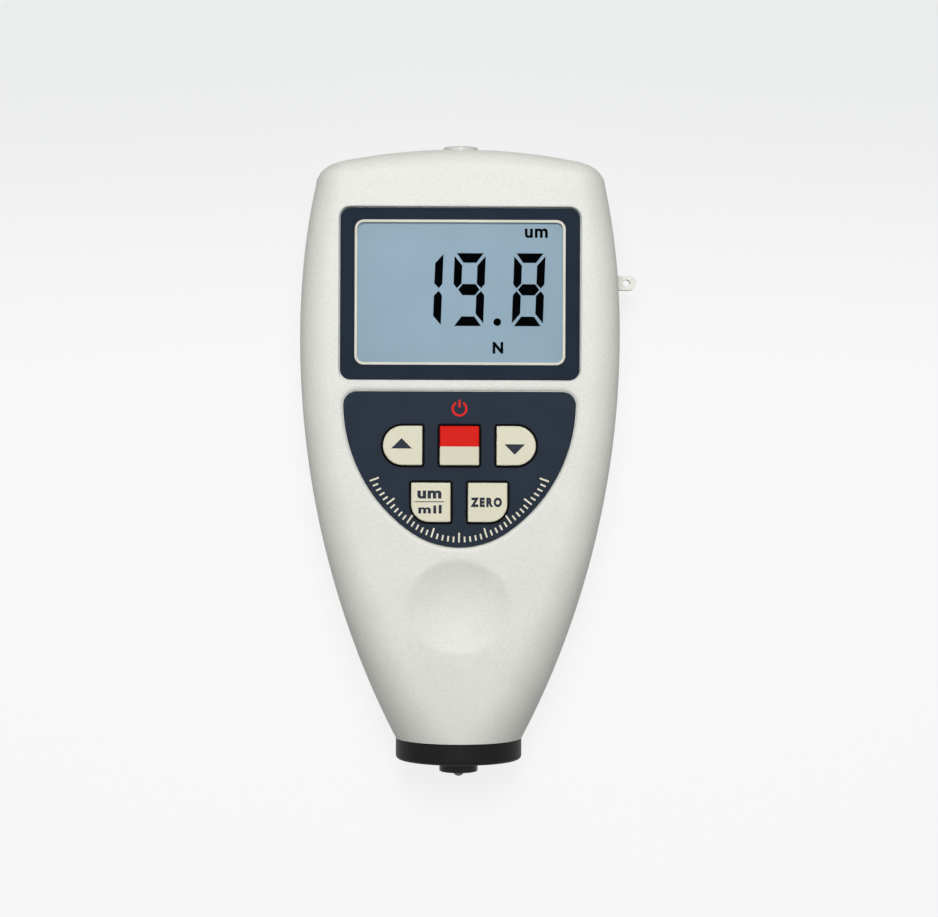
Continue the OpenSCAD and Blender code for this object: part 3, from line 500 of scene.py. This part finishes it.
# Display window: a flat pane of clear acrylic, glued into its seat. It is printed behind with a dark
# blue-grey border and, round the view, one thin pale line.
navy, cream = srgb(41, 50, 62), srgb(232, 227, 208)
pane_edge, glue_t, print_gap = 0.15, 0.02, 0.05
print_z = window_lo[2] + glue_t
pane_foot, pane_head = print_z + print_gap, window_hi[2]


def soft_edge(edge, head):
    """Rings (distance set out, height) of a quarter-round edge that ends at the height head."""
    return [(-edge * (1 - math.cos(a)), head - edge * (1 - math.sin(a))) for a in lip_turn]


pane_rings = [(-pane_edge, pane_foot), (0, pane_foot + pane_edge)] + soft_edge(pane_edge, pane_head)
pane_mesh = in_mesh([stacked(window_outline, pane_rings)], "window_glass", (pane_foot, pane_head))

# the pane shines only on its top face and at low angles: the share that it throws straight back is left out
acrylic_ior, straight_share, top_skin = 1.45, 0.034, 0.05
clear_pane, place = new_finish("clear_pane")
gloss = place.node("BsdfGlossy", {}, {"Color": (1, 1, 1, 1), "Roughness": 0.04}, "BSDF")
through = place.node("BsdfTransparent", {}, {"Color": (0.98, 0.985, 0.99, 1)}, "BSDF")
top_face = place.part("Z") > float(pane_head - top_skin)
low_angle = place.maths("MAXIMUM", place.node("Fresnel", {}, {"IOR": acrylic_ior}) - straight_share, 0.0)
shine = low_angle * (0.95 + 0.1 * place.noise(14.0)) * top_face
pane_shader = place.node("MixShader", {}, {0: shine, 1: through, 2: gloss})
place.node("OutputMaterial", {}, {"Surface": pane_shader})
placed(pane_mesh, clear_pane, "case", ["display_window"])


def printed(name, colour, rough=0.55, tone=0.04, grain=0.25, gloss=0.12):
    """Screen-printed ink: an even colour with a faint mottle, and the fine tooth of the film under it."""
    material, place = new_finish(name)
    fine = place.noise(grain, 2)
    base = place.noise(6.0).ramp(0.35, 0.65).mix(shaded(colour, 1 - tone), shaded(colour, 1 + tone))
    close_finish(
        place, Base_Color=base, Roughness=rough - 0.06 + 0.12 * fine, Normal=fine.bump(0.004, 0.4),
        Specular_IOR_Level=gloss)
    return material


def flat_band(outer, inner, z0, z1):
    """A thin flat ring between two loops of as many points, closed all round."""
    rings = [(outer, z0), (outer, z1), (inner, z1), (inner, z0), (outer, z0)]
    return grid(np.stack([at_height(loop, z) for loop, z in rings]), True)


ink_t, border_inset = 0.02, 0.02
line_lift, line_w, line_corner = 0.35, 0.5, [1.8] * 4
line_at = window_at + [0.0, line_lift]
line_outer = corner_rect(line_at, view_size, line_corner)
line_inner = corner_rect(line_at, view_size, line_corner, -line_w)
border_band = flat_band(window_outline(-border_inset), line_outer, print_z, print_z + ink_t)
line_band = flat_band(line_outer, line_inner, print_z, print_z + ink_t)
border_ink, line_ink = printed("border_ink", navy, gloss=0.01), printed("line_ink", cream)
placed(in_mesh([border_band], "window_border"), border_ink, "case")
placed(in_mesh([line_band], "window_line"), line_ink, "case")

# Keypad overlay: a stiff dark blue-grey film, cut to shape with a hole for each key and stuck to the floor
# of its seat. A fan of pale strokes is printed along its foot and a small red power mark above the middle
# key.
film_edge = 0.08
film_parts = [stacked(overlay_outline, [(0, overlay_floor)] + soft_edge(film_edge, film_top))]
for key in key_radii:
    film_parts.append(stacked(key_outline(key), [(film_gap, overlay_floor), (film_gap, film_top)]))
film_mesh = in_mesh(film_parts, "overlay_film", (overlay_floor, film_top))
overlay_film = printed("overlay_film", navy, rough=0.6, tone=0.05, grain=0.4, gloss=0.06)
placed(film_mesh, overlay_film, "case", ["keypad_overlay"])

stroke_count, stroke_w, long_every = 41, 0.34, 5
stroke_inset, stroke_len, long_stroke = 1.0, 1.1, 1.9
fan_at, fan_from, fan_to = (0.0, 19.0), -160, -20
stroke_fan = np.radians(np.linspace(fan_from, fan_to, stroke_count))
edge_x, edge_y = (overlay_outline(-stroke_inset) - fan_at).T
edge_angle, edge_reach = np.arctan2(edge_y, edge_x), np.hypot(edge_x, edge_y)
order = np.argsort(edge_angle)
reach = np.interp(stroke_fan, edge_angle[order], edge_reach[order])
length = np.where(np.arange(stroke_count) % long_every == 0, long_stroke, stroke_len)
film_ink = (film_top - ink_t, film_top + ink_t)


def strokes(at, angle, near, far, width, heights):
    """Thin flat bars that stand out from a point at these angles, each from its near to its far distance:
    two four-cornered loops, one above the other, with six faces between them."""
    along = np.stack([np.cos(angle), np.sin(angle)], -1)[:, None, :]
    aside = np.stack([-np.sin(angle), np.cos(angle)], -1)[:, None, :]
    out = np.stack([far, far, near, near], -1)[:, :, None]
    side = np.array([-1, 1, 1, -1])[None, :, None] * width / 2
    flat = np.asarray(at) + along * out + aside * side
    loops = [np.concatenate([flat, np.full(flat.shape[:2] + (1,), z)], -1) for z in heights]
    bar = np.array([[3, 2, 1, 0], [4, 5, 6, 7], [0, 1, 5, 4], [1, 2, 6, 5], [2, 3, 7, 6], [3, 0, 4, 7]])
    faces = bar[None] + 8 * np.arange(len(flat))[:, None, None]
    return np.concatenate(loops, 1).reshape(-1, 3), faces.reshape(-1, 4)


stroke_parts = strokes(fan_at, stroke_fan, reach - length, reach, stroke_w, film_ink)
placed(in_mesh([stroke_parts], "overlay_strokes"), printed("stroke_ink", cream), "case")

mark_at, mark_r, mark_w, bar_start = (0.0, 26.9), 1.35, 0.42, 0.25
mark_open, mark_steps = 32, 40
mark_outer, mark_inner = (
    arc(mark_at, mark_r + side * mark_w / 2, 90 + mark_open, 450 - mark_open, mark_steps)
    for side in (1, -1))
mark_rings = [
    at_height(loop, film_ink[level])
    for loop, level in ((mark_outer, 0), (mark_outer, 1), (mark_inner, 1), (mark_inner, 0))]
ring_points, ring_faces = grid(np.stack(mark_rings, 1), True)
ends = [[0, 1, 2, 3], [len(ring_points) - k for k in (1, 2, 3, 4)]]
mark_bar = strokes(
    mark_at, np.array([np.pi / 2]), np.array([bar_start]), np.array([mark_r + mark_w]), mark_w, film_ink)
mark_mesh = in_mesh([(ring_points, ring_faces.tolist() + ends), mark_bar], "power_mark")
placed(mark_mesh, printed("mark_ink", srgb(222, 30, 22)), "case")

# Keys: five small caps of cream plastic with rounded edges, each moulded with a rim below that keeps it in
# the case. A thin black ring lies round each key in the film's hole, as painted shade for the gap round the
# key.
# The middle key is printed red over its upper half, and the others with dark arrows and words.
# the black rings in the film's holes round the keys are painted shade for the gaps there
shade_ring_gap, shade_ring_slack = 0.06, 0.01
gap_shade_rings = [
    flat_band(
        key_outline(key)(film_gap - shade_ring_slack), key_outline(key)(shade_ring_gap),
        overlay_floor + shade_ring_slack, film_top - shade_ring_slack)
    for key in key_radii]
painted_gap_shade = moulded(
    "painted_gap_shade", srgb(9, 9, 10), grain=0.2, depth=0.004, rough=(0.7, 0.85), tone=0.1, gloss=0.05)
placed(in_mesh(gap_shade_rings, "key_gap_shade_rings"), painted_gap_shade, "case")

key_cream, key_grain, split_drop = srgb(225, 221, 197), 0.22, 0.18
key_plastic = moulded("key_plastic", key_cream, key_grain, depth=0.008, rough=(0.42, 0.55), tone=0.03)
red_split, place = new_finish("power_key_print")
fine = place.noise(key_grain, 3)
upper = place.part("Y") > float(key_at["power"][1] - split_drop)
two_tone = upper.mix(key_cream, srgb(225, 22, 12))
soft_tone = (fine * 0.5 + place.noise(6.0) * 0.5).ramp(*noise_span)
close_finish(
    place, Base_Color=(soft_tone * 0.05).mix(two_tone, srgb(90, 60, 45)), Roughness=0.42 + 0.13 * fine,
    Normal=fine.bump(0.008, 0.6), Specular_IOR_Level=0.08)

key_rim, rim_gap, cap_edge = 0.8, 0.25, 0.22
rim_top = z_inner - rim_gap
for key, box in key_boxes.items():
    foot, head = box[:, 2]
    cap_rings = [(key_rim, foot), (key_rim, rim_top), (0, rim_top)] + soft_edge(cap_edge, head)
    cap_mesh = in_mesh([stacked(key_outline(key), cap_rings)], key + "_cap", (foot, head))
    finish = red_split if key == "power" else key_plastic
    placed(cap_mesh, finish, key + "_button", [key + "_key"])

most_offset = 0.03


def lettering(words, at, box, heights, weight=0.03, spread=1.1):
    """Generic letters: the built-in font's outline, thickened by weight, at least half of it as a bevel,
    made a mesh and stretched to fill a box (left, right, foot, head) about a place."""
    text = bpy.data.curves.new("letters", "FONT")
    text.body, text.extrude, text.resolution_u, text.space_character = words, 0.5, 4, spread
    text.offset = min(weight / 2, most_offset)
    text.bevel_depth, text.bevel_resolution = weight - text.offset, 0
    obj = bpy.data.objects.new("letters", text)
    bpy.context.scene.collection.objects.link(obj)
    made = bpy.data.meshes.new_from_object(obj.evaluated_get(bpy.context.evaluated_depsgraph_get()))
    points = np.empty(len(made.vertices) * 3)
    made.vertices.foreach_get("co", points)
    points = points.reshape(-1, 3)
    faces = [tuple(p.vertices) for p in made.polygons]
    bpy.data.objects.remove(obj)
    bpy.data.meshes.remove(made)
    left, right, foot, head = box
    box_low = np.array([at[0] + left, at[1] + foot, heights[0]])
    box_high = np.array([at[0] + right, at[1] + head, heights[1]])
    low, high = points.min(0), points.max(0)
    return box_low + (points - low) / (high - low) * (box_high - box_low), faces


def plate(loop, heights):
    """A thin flat plate on one loop."""
    points = np.concatenate([at_height(np.asarray(loop), z) for z in heights])
    n = len(loop)
    i = np.arange(n)
    sides = np.stack([i, (i + 1) % n, (i + 1) % n + n, i + n], -1).tolist()
    return points, [list(range(n))[::-1], list(range(n, 2 * n))] + sides


legend_ink = printed("legend_ink", srgb(38, 44, 58), rough=0.5)
cap_top = key_boxes["up"][1][2]
cap_ink = (cap_top - ink_t, cap_top + ink_t)
arrow_half, arrow_h = 2.05, 2.05
up_base, down_base = key_at["up"] + [-0.2, -0.6], key_at["down"] + [-0.3, 0.3]
unit_box, rule_box, mil_box = (-2.65, 2.1, 0.72, 2.35), (-3.2, 2.6, 0.04, 0.2), (-2.45, 2.15, -2.2, -0.5)
zero_box = (-3.38, 2.83, -0.92, 1.0)
rule = key_at["unit"] + np.array([(rule_box[x], rule_box[y]) for x, y in ((0, 2), (1, 2), (1, 3), (0, 3))])
legends = {
    "up": [plate(up_base + np.array([[-arrow_half, 0], [arrow_half, 0], [0, arrow_h]]), cap_ink)],
    "down": [plate(down_base + np.array([[0, -arrow_h], [arrow_half, 0], [-arrow_half, 0]]), cap_ink)],
    "unit": [
        lettering("um", key_at["unit"], unit_box, cap_ink, weight=0.048),
        plate(rule, cap_ink),
        lettering("mil", key_at["unit"], mil_box, cap_ink, weight=0.042, spread=1.2)],
    "zero": [lettering("ZERO", key_at["zero"], zero_box, cap_ink, weight=0.074, spread=1.4)]}
for key, parts in legends.items():
    placed(in_mesh(parts, key + "_legend"), legend_ink, key + "_button")

# Display: a glass cell that shows dark segments on a pale blue-grey ground, held in a white frame on the
# board over a light block, and joined to the board by two striped rubber strips.
display_glass, place = new_finish("display_glass")
ground = place.noise(16.0).ramp(*noise_span).mix(srgb(149, 170, 183), srgb(154, 175, 188))
close_finish(
    place, Base_Color=ground, Roughness=0.5 + 0.05 * place.noise(3.0),
    Emission_Color=srgb(152, 173, 186), Emission_Strength=0.08, Specular_IOR_Level=0.02)
lcd_top = box_mm("lcd_glass")[1][2]
lcd_ink = (lcd_top - ink_t, lcd_top + ink_t)
digit_h, slant, digit_foot = 14.45, 0.0347, 43.33
half_out, half_in, bar_tip = 3.09, 1.5, 2.42
bar_head, bar_shoulder, bar_inner, bar_point, bar_outer = 0.57, 2.47, 1.2, 0.27, 1.12
one_head, one_shoulder = 0.2, 2.0
cap_out, cap_in, cap_h = 2.66, 1.28, 1.9
mid_tip, mid_end, mid_half = 2.12, 1.26, 1.11
mid = digit_h / 2
lower_points = [(half_in, mid + bar_inner), (bar_tip, mid + bar_point), (half_out, mid + bar_outer)]
upper_bar = [(half_out, digit_h - bar_head), (half_in, digit_h - bar_shoulder)] + lower_points
tall_bar = [(half_out, digit_h - one_head), (half_in, digit_h - one_shoulder)] + lower_points
segments = {
    "top": [(-cap_out, digit_h), (-cap_in, digit_h - cap_h), (cap_in, digit_h - cap_h), (cap_out, digit_h)],
    "foot": [(-cap_out, 0), (cap_out, 0), (cap_in, cap_h), (-cap_in, cap_h)],
    "middle": [
        (-mid_tip, mid), (-mid_end, mid - mid_half), (mid_end, mid - mid_half), (mid_tip, mid),
        (mid_end, mid + mid_half), (-mid_end, mid + mid_half)],
    "right_upper": upper_bar,
    "left_upper": [(-x, y) for x, y in upper_bar][::-1],
    "right_lower": [(x, digit_h - y) for x, y in upper_bar][::-1],
    "left_lower": [(-x, digit_h - y) for x, y in upper_bar],
    "one_upper": tall_bar,
    "one_lower": [(x, digit_h - y) for x, y in tall_bar][::-1]}
one_x, nine_x, eight_x = -6.89, 1.5, 13.34
nine = ["top", "middle", "foot", "right_upper", "left_upper", "right_lower"]
digits = {one_x: ["one_upper", "one_lower"], nine_x: nine, eight_x: nine + ["left_lower"]}
lit_parts = []
for middle_x, lit in digits.items():
    for segment in lit:
        x, y = np.array(segments[segment]).T
        lit_parts.append(plate(np.stack([middle_x + x + slant * y, digit_foot + y], -1), lcd_ink))
point_at, point_r, point_steps = (7.4, 44.13), 0.76, 28
lcd_origin, lcd_unit_box, lcd_mode_box = (0, 0), (12.8, 17.35, 60.83, 62.72), (6.5, 8.6, 37.88, 40.2)
lit_parts += [
    plate(arc(point_at, point_r, 0, 360, point_steps)[:-1], lcd_ink),
    lettering("um", lcd_origin, lcd_unit_box, lcd_ink),
    lettering("N", lcd_origin, lcd_mode_box, lcd_ink, weight=0.045)]
segment_dark = printed("segment_dark", srgb(5, 6, 8), rough=0.7, tone=0.06, gloss=0.0)
placed(in_mesh(lit_parts, "lcd_segments"), segment_dark, "case")


def finish_nodes(finish, *nodes):
    """Gives CAD nodes a finish in place of their plain colour."""
    for node in nodes:
        data = frame["nodes"][node].data
        data.materials.clear()
        data.materials.append(finish)


white_plastic = moulded("white_plastic", srgb(224, 224, 220), grain=0.4, depth=0.008, rough=(0.4, 0.5))
strip_rubber, place = new_finish("strip_rubber")
stripe_w = 0.2
stripes = place.maths("PINGPONG", place.part("X"), stripe_w) > stripe_w / 2
close_finish(
    place, Base_Color=stripes.mix(srgb(46, 46, 50), srgb(168, 168, 172)),
    Roughness=0.6 + 0.2 * place.noise(0.3), Normal=place.noise(0.2).bump(0.006, 0.4))
finish_nodes(display_glass, "lcd_glass")
finish_nodes(white_plastic, "lcd_frame", "lcd_backlight", "spring_seat", "probe_bobbin", "probe_connector")
finish_nodes(strip_rubber, "zebra_upper", "zebra_lower")

# Main board: green laminate with printed tracks, hung by four screws from the front half. It carries the
# display, the five key switches, the sounder and the controller, and at its top end the data jack, whose
# pale ring shows in the case.
board_laminate, place = new_finish("board_laminate")
track_scale, track_half = 0.22, 0.035
track_cells = {"Vector": place, "Scale": track_scale}
track = place.node("TexVoronoi", {"feature": "DISTANCE_TO_EDGE"}, track_cells, "Distance") < track_half
weave = place.noise(0.5, 2)
close_finish(
    place, Base_Color=track.mix(srgb(22, 84, 50), srgb(52, 124, 78)), Roughness=0.3 + 0.2 * weave,
    Normal=(track * 0.7 + weave * 0.3).bump(0.03, 0.5))
black_plastic = moulded(
    "black_plastic", srgb(27, 27, 29), grain=0.25, depth=0.01, rough=(0.42, 0.6), tone=0.1)
finish_nodes(board_laminate, "main_board")
finish_nodes(black_plastic, "buzzer", "main_chip", "data_jack", *(
    key + part for key in key_radii for part in ("_switch", "_plunger")))

jack_proud, bezel_t, tube_len = 0.03, 3.0, 9.0
jack_end = box_mm("data_jack")[1][1] + jack_proud
tube_r, tube_bore, bezel_r = 1.79, 1.55, jack_nose_r + jack_proud
bezel_edge, mouth_edge = 0.1, 0.2
jack_profile = [
    (tube_bore, jack_end - tube_len), (tube_r, jack_end - tube_len), (tube_r, jack_end - bezel_t),
    (bezel_r, jack_end - bezel_t), (bezel_r, jack_end - bezel_edge), (bezel_r - bezel_edge, jack_end),
    (tube_bore + mouth_edge, jack_end), (tube_bore, jack_end - mouth_edge), (tube_bore, jack_end - tube_len)]
jack_ring = moulded("jack_ring", srgb(206, 207, 204), grain=0.2, depth=0.006, rough=(0.35, 0.5))
jack_mesh = in_mesh([turned(jack_profile, jack_z, steps=64)], "jack_sleeve")
placed(jack_mesh, jack_ring, "case")

# Probe: a sprung sleeve with the domed steel tip of its core in the middle. It slides in a black collar that
# closes the nose, and a coil spring behind it pushes it out against the collar's shoulder.
collar_face, collar_rear = (corner[1] for corner in box_mm("probe_collar"))


def rounded_corner(r, y, radius, start, steps=6):
    """Profile points round an outer corner, by its centre, radius and first angle in degrees."""
    return [tuple(p) for p in arc((r, y), radius, start, start + 90, steps)]


collar_edge, back_edge, bore_edge, nose_gap = 0.8, 0.2, 0.25, 0.03
bore_r, neck_r, bead_r, guide_r = 3.96, 8.8, 10.3, 6.5
bead_from, bead_full, bead_to = y_nose + 2.1, y_nose + 2.2, y_nose + 3.5
neck_y = y_nose - nose_gap
collar_profile = [
    (bore_r, collar_rear), (bore_r, collar_face + bore_edge), (bore_r + bore_edge, collar_face),
    *rounded_corner(nose_r - collar_edge, collar_face + collar_edge, collar_edge, -90),
    *rounded_corner(nose_r - back_edge, neck_y - back_edge, back_edge, 0, steps=3),
    (neck_r, neck_y), (neck_r, bead_from), (bead_r, bead_full), (bead_r, bead_to), (guide_r, bead_to),
    (guide_r, collar_rear), (bore_r, collar_rear)]
collar_plastic = moulded("collar_plastic", srgb(25, 25, 26), rough=(0.42, 0.58), tone=0.12, gloss=0.12)
collar_mesh = in_mesh([turned(collar_profile, z_mid, steps=128)], "nose_collar")
placed(collar_mesh, collar_plastic, "case", ["probe_collar"])


def metal(name, colour, streak, rough):
    """Bare metal: fine scratches drawn out along one direction, in gloss and relief."""
    material, place = new_finish(name)
    scratch = place.node("Mapping", {}, {"Vector": place, "Scale": streak}).noise(0.12, 3)
    base = place.noise(2.5).ramp(*noise_span).mix(shaded(colour, 0.92), shaded(colour, 1.05))
    close_finish(
        place, Base_Color=base, Metallic=1.0, Roughness=rough[0] + (rough[1] - rough[0]) * scratch,
        Normal=scratch.bump(0.004, 0.5))
    return material


sleeve_lo, sleeve_hi = box_mm("probe_sleeve")
sleeve_face, sleeve_rear = sleeve_lo[1], sleeve_hi[1]
sleeve_r, shoulder_r, sleeve_bore, tip_hole = 3.9, sleeve_hi[0], 3.1, 1.3
sleeve_edge, hole_edge, face_wall, shoulder_gap = 0.3, 0.1, 1.0, 0.05
shoulder_y, face_back = collar_rear + shoulder_gap, sleeve_face + face_wall
sleeve_profile = [
    (tip_hole, face_back), (tip_hole, sleeve_face + hole_edge), (tip_hole + hole_edge, sleeve_face),
    *rounded_corner(sleeve_r - sleeve_edge, sleeve_face + sleeve_edge, sleeve_edge, -90),
    (sleeve_r, shoulder_y), (shoulder_r, shoulder_y), (shoulder_r, sleeve_rear), (sleeve_bore, sleeve_rear),
    (sleeve_bore, face_back), (tip_hole, face_back)]
sleeve_metal = metal("sleeve_metal", srgb(44, 44, 46), streak=(1.0, 0.08, 1.0), rough=(0.3, 0.48))
sleeve_mesh = in_mesh([turned(sleeve_profile, z_mid)], "sliding_sleeve")
placed(sleeve_mesh, sleeve_metal, "probe", ["probe_sleeve"])

core_lo, core_hi = box_mm("probe_core")
tip_r = core_hi[0]
dome = rounded_corner(0, core_lo[1] + tip_r, tip_r, -90, steps=10)
core_profile = dome + [(tip_r, core_hi[1]), (0, core_hi[1])]
tip_steel = metal("tip_steel", srgb(84, 85, 88), streak=(1.0, 0.1, 1.0), rough=(0.2, 0.32))
core_mesh = in_mesh([turned(core_profile, z_mid, steps=48)], "steel_core")
placed(core_mesh, tip_steel, "probe", ["probe_core"])

coil_wire, place = new_finish("coil_wire")
turn_pitch = 0.08
winding = place.maths("PINGPONG", place.part("Y"), turn_pitch) * (1 / turn_pitch)
close_finish(
    place, Base_Color=winding.mix(srgb(92, 46, 22), srgb(196, 112, 58)), Metallic=1.0,
    Roughness=0.3 + 0.15 * place.noise(0.4), Normal=winding.bump(0.04, 0.8))
finish_nodes(coil_wire, "probe_coil")
finish_nodes(black_plastic, "probe_stem")

near_length = [0.02, 1, 0.013]


def wire(path, radius, sides=10):
    """A round wire along a path: a circle set square to the path at each of its points, turned so that one
    of its directions stays square to a line close to the case's length, and closed to a point at both
    ends."""
    along = np.gradient(path, axis=0)
    path, along = (np.concatenate([line[:1], line, line[-1:]]) for line in (path, along))
    along /= np.linalg.norm(along, axis=1, keepdims=True)
    first = np.cross(along, near_length)
    first /= np.linalg.norm(first, axis=1, keepdims=True)
    second = np.cross(along, first)
    size = np.full(len(path), radius)
    size[[0, -1]] = 0
    a = np.linspace(0, 2 * np.pi, sides, endpoint=False)[None, :, None]
    out = np.cos(a) * first[:, None] + np.sin(a) * second[:, None]
    return grid(path[:, None] + size[:, None, None] * out, True)


def coil(y0, y1, radius, turns, steps, crowding=16):
    """Path of a coil about the probe's axis: a circle drawn out along the case, its end turns closer."""
    f = np.linspace(0, 1, turns * steps + 1)
    a = 2 * np.pi * turns * f
    y = y0 + (y1 - y0) * (f - np.sin(2 * np.pi * f) / crowding)
    return np.stack([radius * np.cos(a), y, z_mid + radius * np.sin(a)], -1)


press = next(joint for joint in frame["joints"] if joint["name"] == "probe_press")
travel = press["range_m"][1] / MM
spring_lo, spring_hi = box_mm("probe_spring")
spring_wire_r, spring_turns, turn_steps = 0.3, 6, 28
spring_path = coil(
    spring_lo[1] + spring_wire_r, spring_hi[1] - spring_wire_r, spring_hi[0] - spring_wire_r, spring_turns,
    turn_steps)
spring_steel = metal("spring_steel", srgb(178, 180, 184), streak=(1.0, 1.0, 1.0), rough=(0.25, 0.4))
spring_mesh = in_mesh([wire(spring_path, spring_wire_r)], "probe_coil_spring")
spring = placed(spring_mesh, spring_steel, "case", ["probe_spring"], sharp=60)
spring_len = spring_hi[1] - spring_lo[1]
1 - travel / spring_len
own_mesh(spring)

lead_lo, lead_hi = box_mm("probe_lead")
lead_r, lead_steps = 0.45, 24
lead_f = np.linspace(0, 1, lead_steps + 1)
lead_path = np.stack([
    (lead_hi[0] - lead_r) * np.sin(np.pi * lead_f) ** 2,
    lead_lo[1] + (lead_hi[1] - lead_lo[1]) * lead_f,
    z_mid + (lead_hi[2] - lead_r - z_mid) * (1 - np.cos(np.pi * lead_f)) / 2], -1)
lead_rubber = moulded(
    "lead_rubber", srgb(176, 40, 32), grain=0.2, depth=0.006, rough=(0.5, 0.65), tone=0.08)
lead_mesh = in_mesh([wire(lead_path, lead_r)], "probe_wire")
lead = placed(lead_mesh, lead_rubber, "case", ["probe_lead"], sharp=60)
lead_len = lead_hi[1] - lead_lo[1]
1 - travel / lead_len
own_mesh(lead)

# Rear half of the case: a second moulding of the same plastic, with the strap lug on one side, the cell bay
# and the rails of the battery door. It meets the front half at a fine V-shaped line, and steel screws hold
# it.


def moulding(node, name, finish, body):
    """A smooth copy of a CAD node's mesh: its triangles merged, and shaded evenly but for the real edges."""
    mesh = frame["nodes"][node].data.copy()
    mesh.name = name
    merge_points(mesh, slivers=False)
    placed(mesh, finish, body, [node], sharp=12)


moulding("rear_case", "rear_shell", case_plastic, "case")
screw_steel = metal("screw_steel", srgb(150, 151, 154), streak=(1.0, 1.0, 0.2), rough=(0.3, 0.45))
finish_nodes(screw_steel, "case_screws", "board_screws")

# Cells: four slim dry cells side by side in the bay, pointing up and down by turns, between cone springs and
# plain contact plates of nickelled strip.
band_from, band_to = 50.0, 58.0
cell_jacket, place = new_finish("cell_jacket")
along = place.part("Y")
band = (along > band_from) * (along < band_to)
fine = place.noise(0.3, 2)
jacket = band.mix(srgb(48, 54, 66), srgb(186, 150, 74))
close_finish(
    place, Base_Color=(place.noise(8.0) * 0.2).mix(jacket, srgb(20, 22, 28)), Metallic=0.55,
    Roughness=0.32 + 0.12 * fine, Normal=fine.bump(0.004, 0.4))
contact_metal = metal("contact_metal", srgb(208, 204, 190), streak=(0.1, 0.1, 1.0), rough=(0.22, 0.4))
finish_nodes(cell_jacket, *(f"cell_{n}" for n in (1, 2, 3, 4)))
bridges = [f"bridge_contact_{n}" for n in (1, 2, 3)]
finish_nodes(contact_metal, *bridges, "negative_terminal", "positive_terminal")
finish_nodes(spring_steel, *(f"cell_spring_{n}" for n in (1, 2, 3, 4)))

# Battery door: a plate of the case's plastic that slides off over the top end on a tongue along each side,
# with six grooves across its foot for the thumb.
moulding("battery_door", "door_panel", case_plastic, "door")

# Floor: a plain pale sheet under the gauge, slightly darker towards the top of the picture. The camera and
# reflections see it bright, and other light bounces off a darker grey, so that the case's sides keep their
# tone.
floor_half, floor_z = 6.0, -0.0001
shade_from, shade_to, even_share = 20.0, 112.0, 0.87
floor_mesh = bpy.data.meshes.new("floor")
floor_corners = [(x * floor_half, y * floor_half, floor_z) for x, y in ((-1, -1), (1, -1), (1, 1), (-1, 1))]
floor_mesh.from_pydata(floor_corners, [], [(0, 1, 2, 3)])
floor = bpy.data.objects.new("floor", floor_mesh)
bpy.context.scene.collection.objects.link(floor)
paper, place = new_finish("floor_paper")
pale = place.part("Y").ramp(shade_from, shade_to).mix(srgb(251, 251, 251), srgb(236, 238, 237))
even = place.node("Emission", {}, {"Color": pale, "Strength": 1.0})
lit = place.node("BsdfDiffuse", {}, {"Color": pale})
bounce = place.node("BsdfDiffuse", {}, {"Color": srgb(172, 172, 168)})
bright = place.node("MixShader", {}, {0: even_share, 1: lit, 2: even})
floor_shader = place.node("MixShader", {}, {0: place.seen(), 1: bounce, 2: bright})
place.node("OutputMaterial", {}, {"Surface": floor_shader})
floor_mesh.materials.append(paper)

# Studio: one soft light above, two weak fills at the sides and a pale surround, at a level at which a colour
# renders about as it is written. The camera, gloss and glass see the surround in the far floor's tone, which
# differs towards the top end and towards the nose. The camera looks straight down on the gauge.
scene = bpy.context.scene
light_aim = (0, 20, 10)
studio_lights = {
    "top_light": ((0, 190, 550), 200, 2.42),
    "side_fill": ((-520, 60, 520), 420, 0.1),
    "other_fill": ((520, 60, 520), 420, 0.1)}
for name, (light_at, size, power) in studio_lights.items():
    lamp = bpy.data.lights.new(name, "AREA")
    lamp.size, lamp.energy = size * MM, power
    obj = bpy.data.objects.new(name, lamp)
    obj.location = [c * MM for c in light_at]
    towards = Vector([(b - a) * MM for a, b in zip(light_at, light_aim)])
    obj.rotation_euler = towards.to_track_quat("-Z", "Y").to_euler()
    scene.collection.objects.link(obj)

sky_level, turn_over = 0.16, 0.2
world = bpy.data.worlds.new("studio")
world.use_nodes = True
world.node_tree.nodes.clear()
sky = Value(world.node_tree)
sky_light = sky.node("Background", {}, {"Color": (0.98, 0.99, 1.0, 1.0), "Strength": sky_level})
towards_top = sky.node("TexCoord", {}, {}, "Generated").part("Y")
far_floor = towards_top.ramp(-turn_over, turn_over).mix(srgb(239, 239, 239), srgb(224, 226, 225))
sky_white = sky.node("Background", {}, {"Color": far_floor, "Strength": 1.0})
sky_shader = sky.node("MixShader", {}, {0: sky.seen(), 1: sky_light, 2: sky_white})
sky.node("OutputWorld", {}, {"Surface": sky_shader})
scene.world = world
scene.view_settings.view_transform = "Standard"

camera_at, camera_roll = (1.9, 17.07, 483.5), 0.22
lens = bpy.data.cameras.new("camera")
lens.lens, lens.sensor_width = 88.8, 36.0
camera = bpy.data.objects.new("camera", lens)
camera.location = [c * MM for c in camera_at]
camera.rotation_euler = (0.0, 0.0, math.radians(camera_roll))
scene.collection.objects.link(camera)
scene.camera = camera
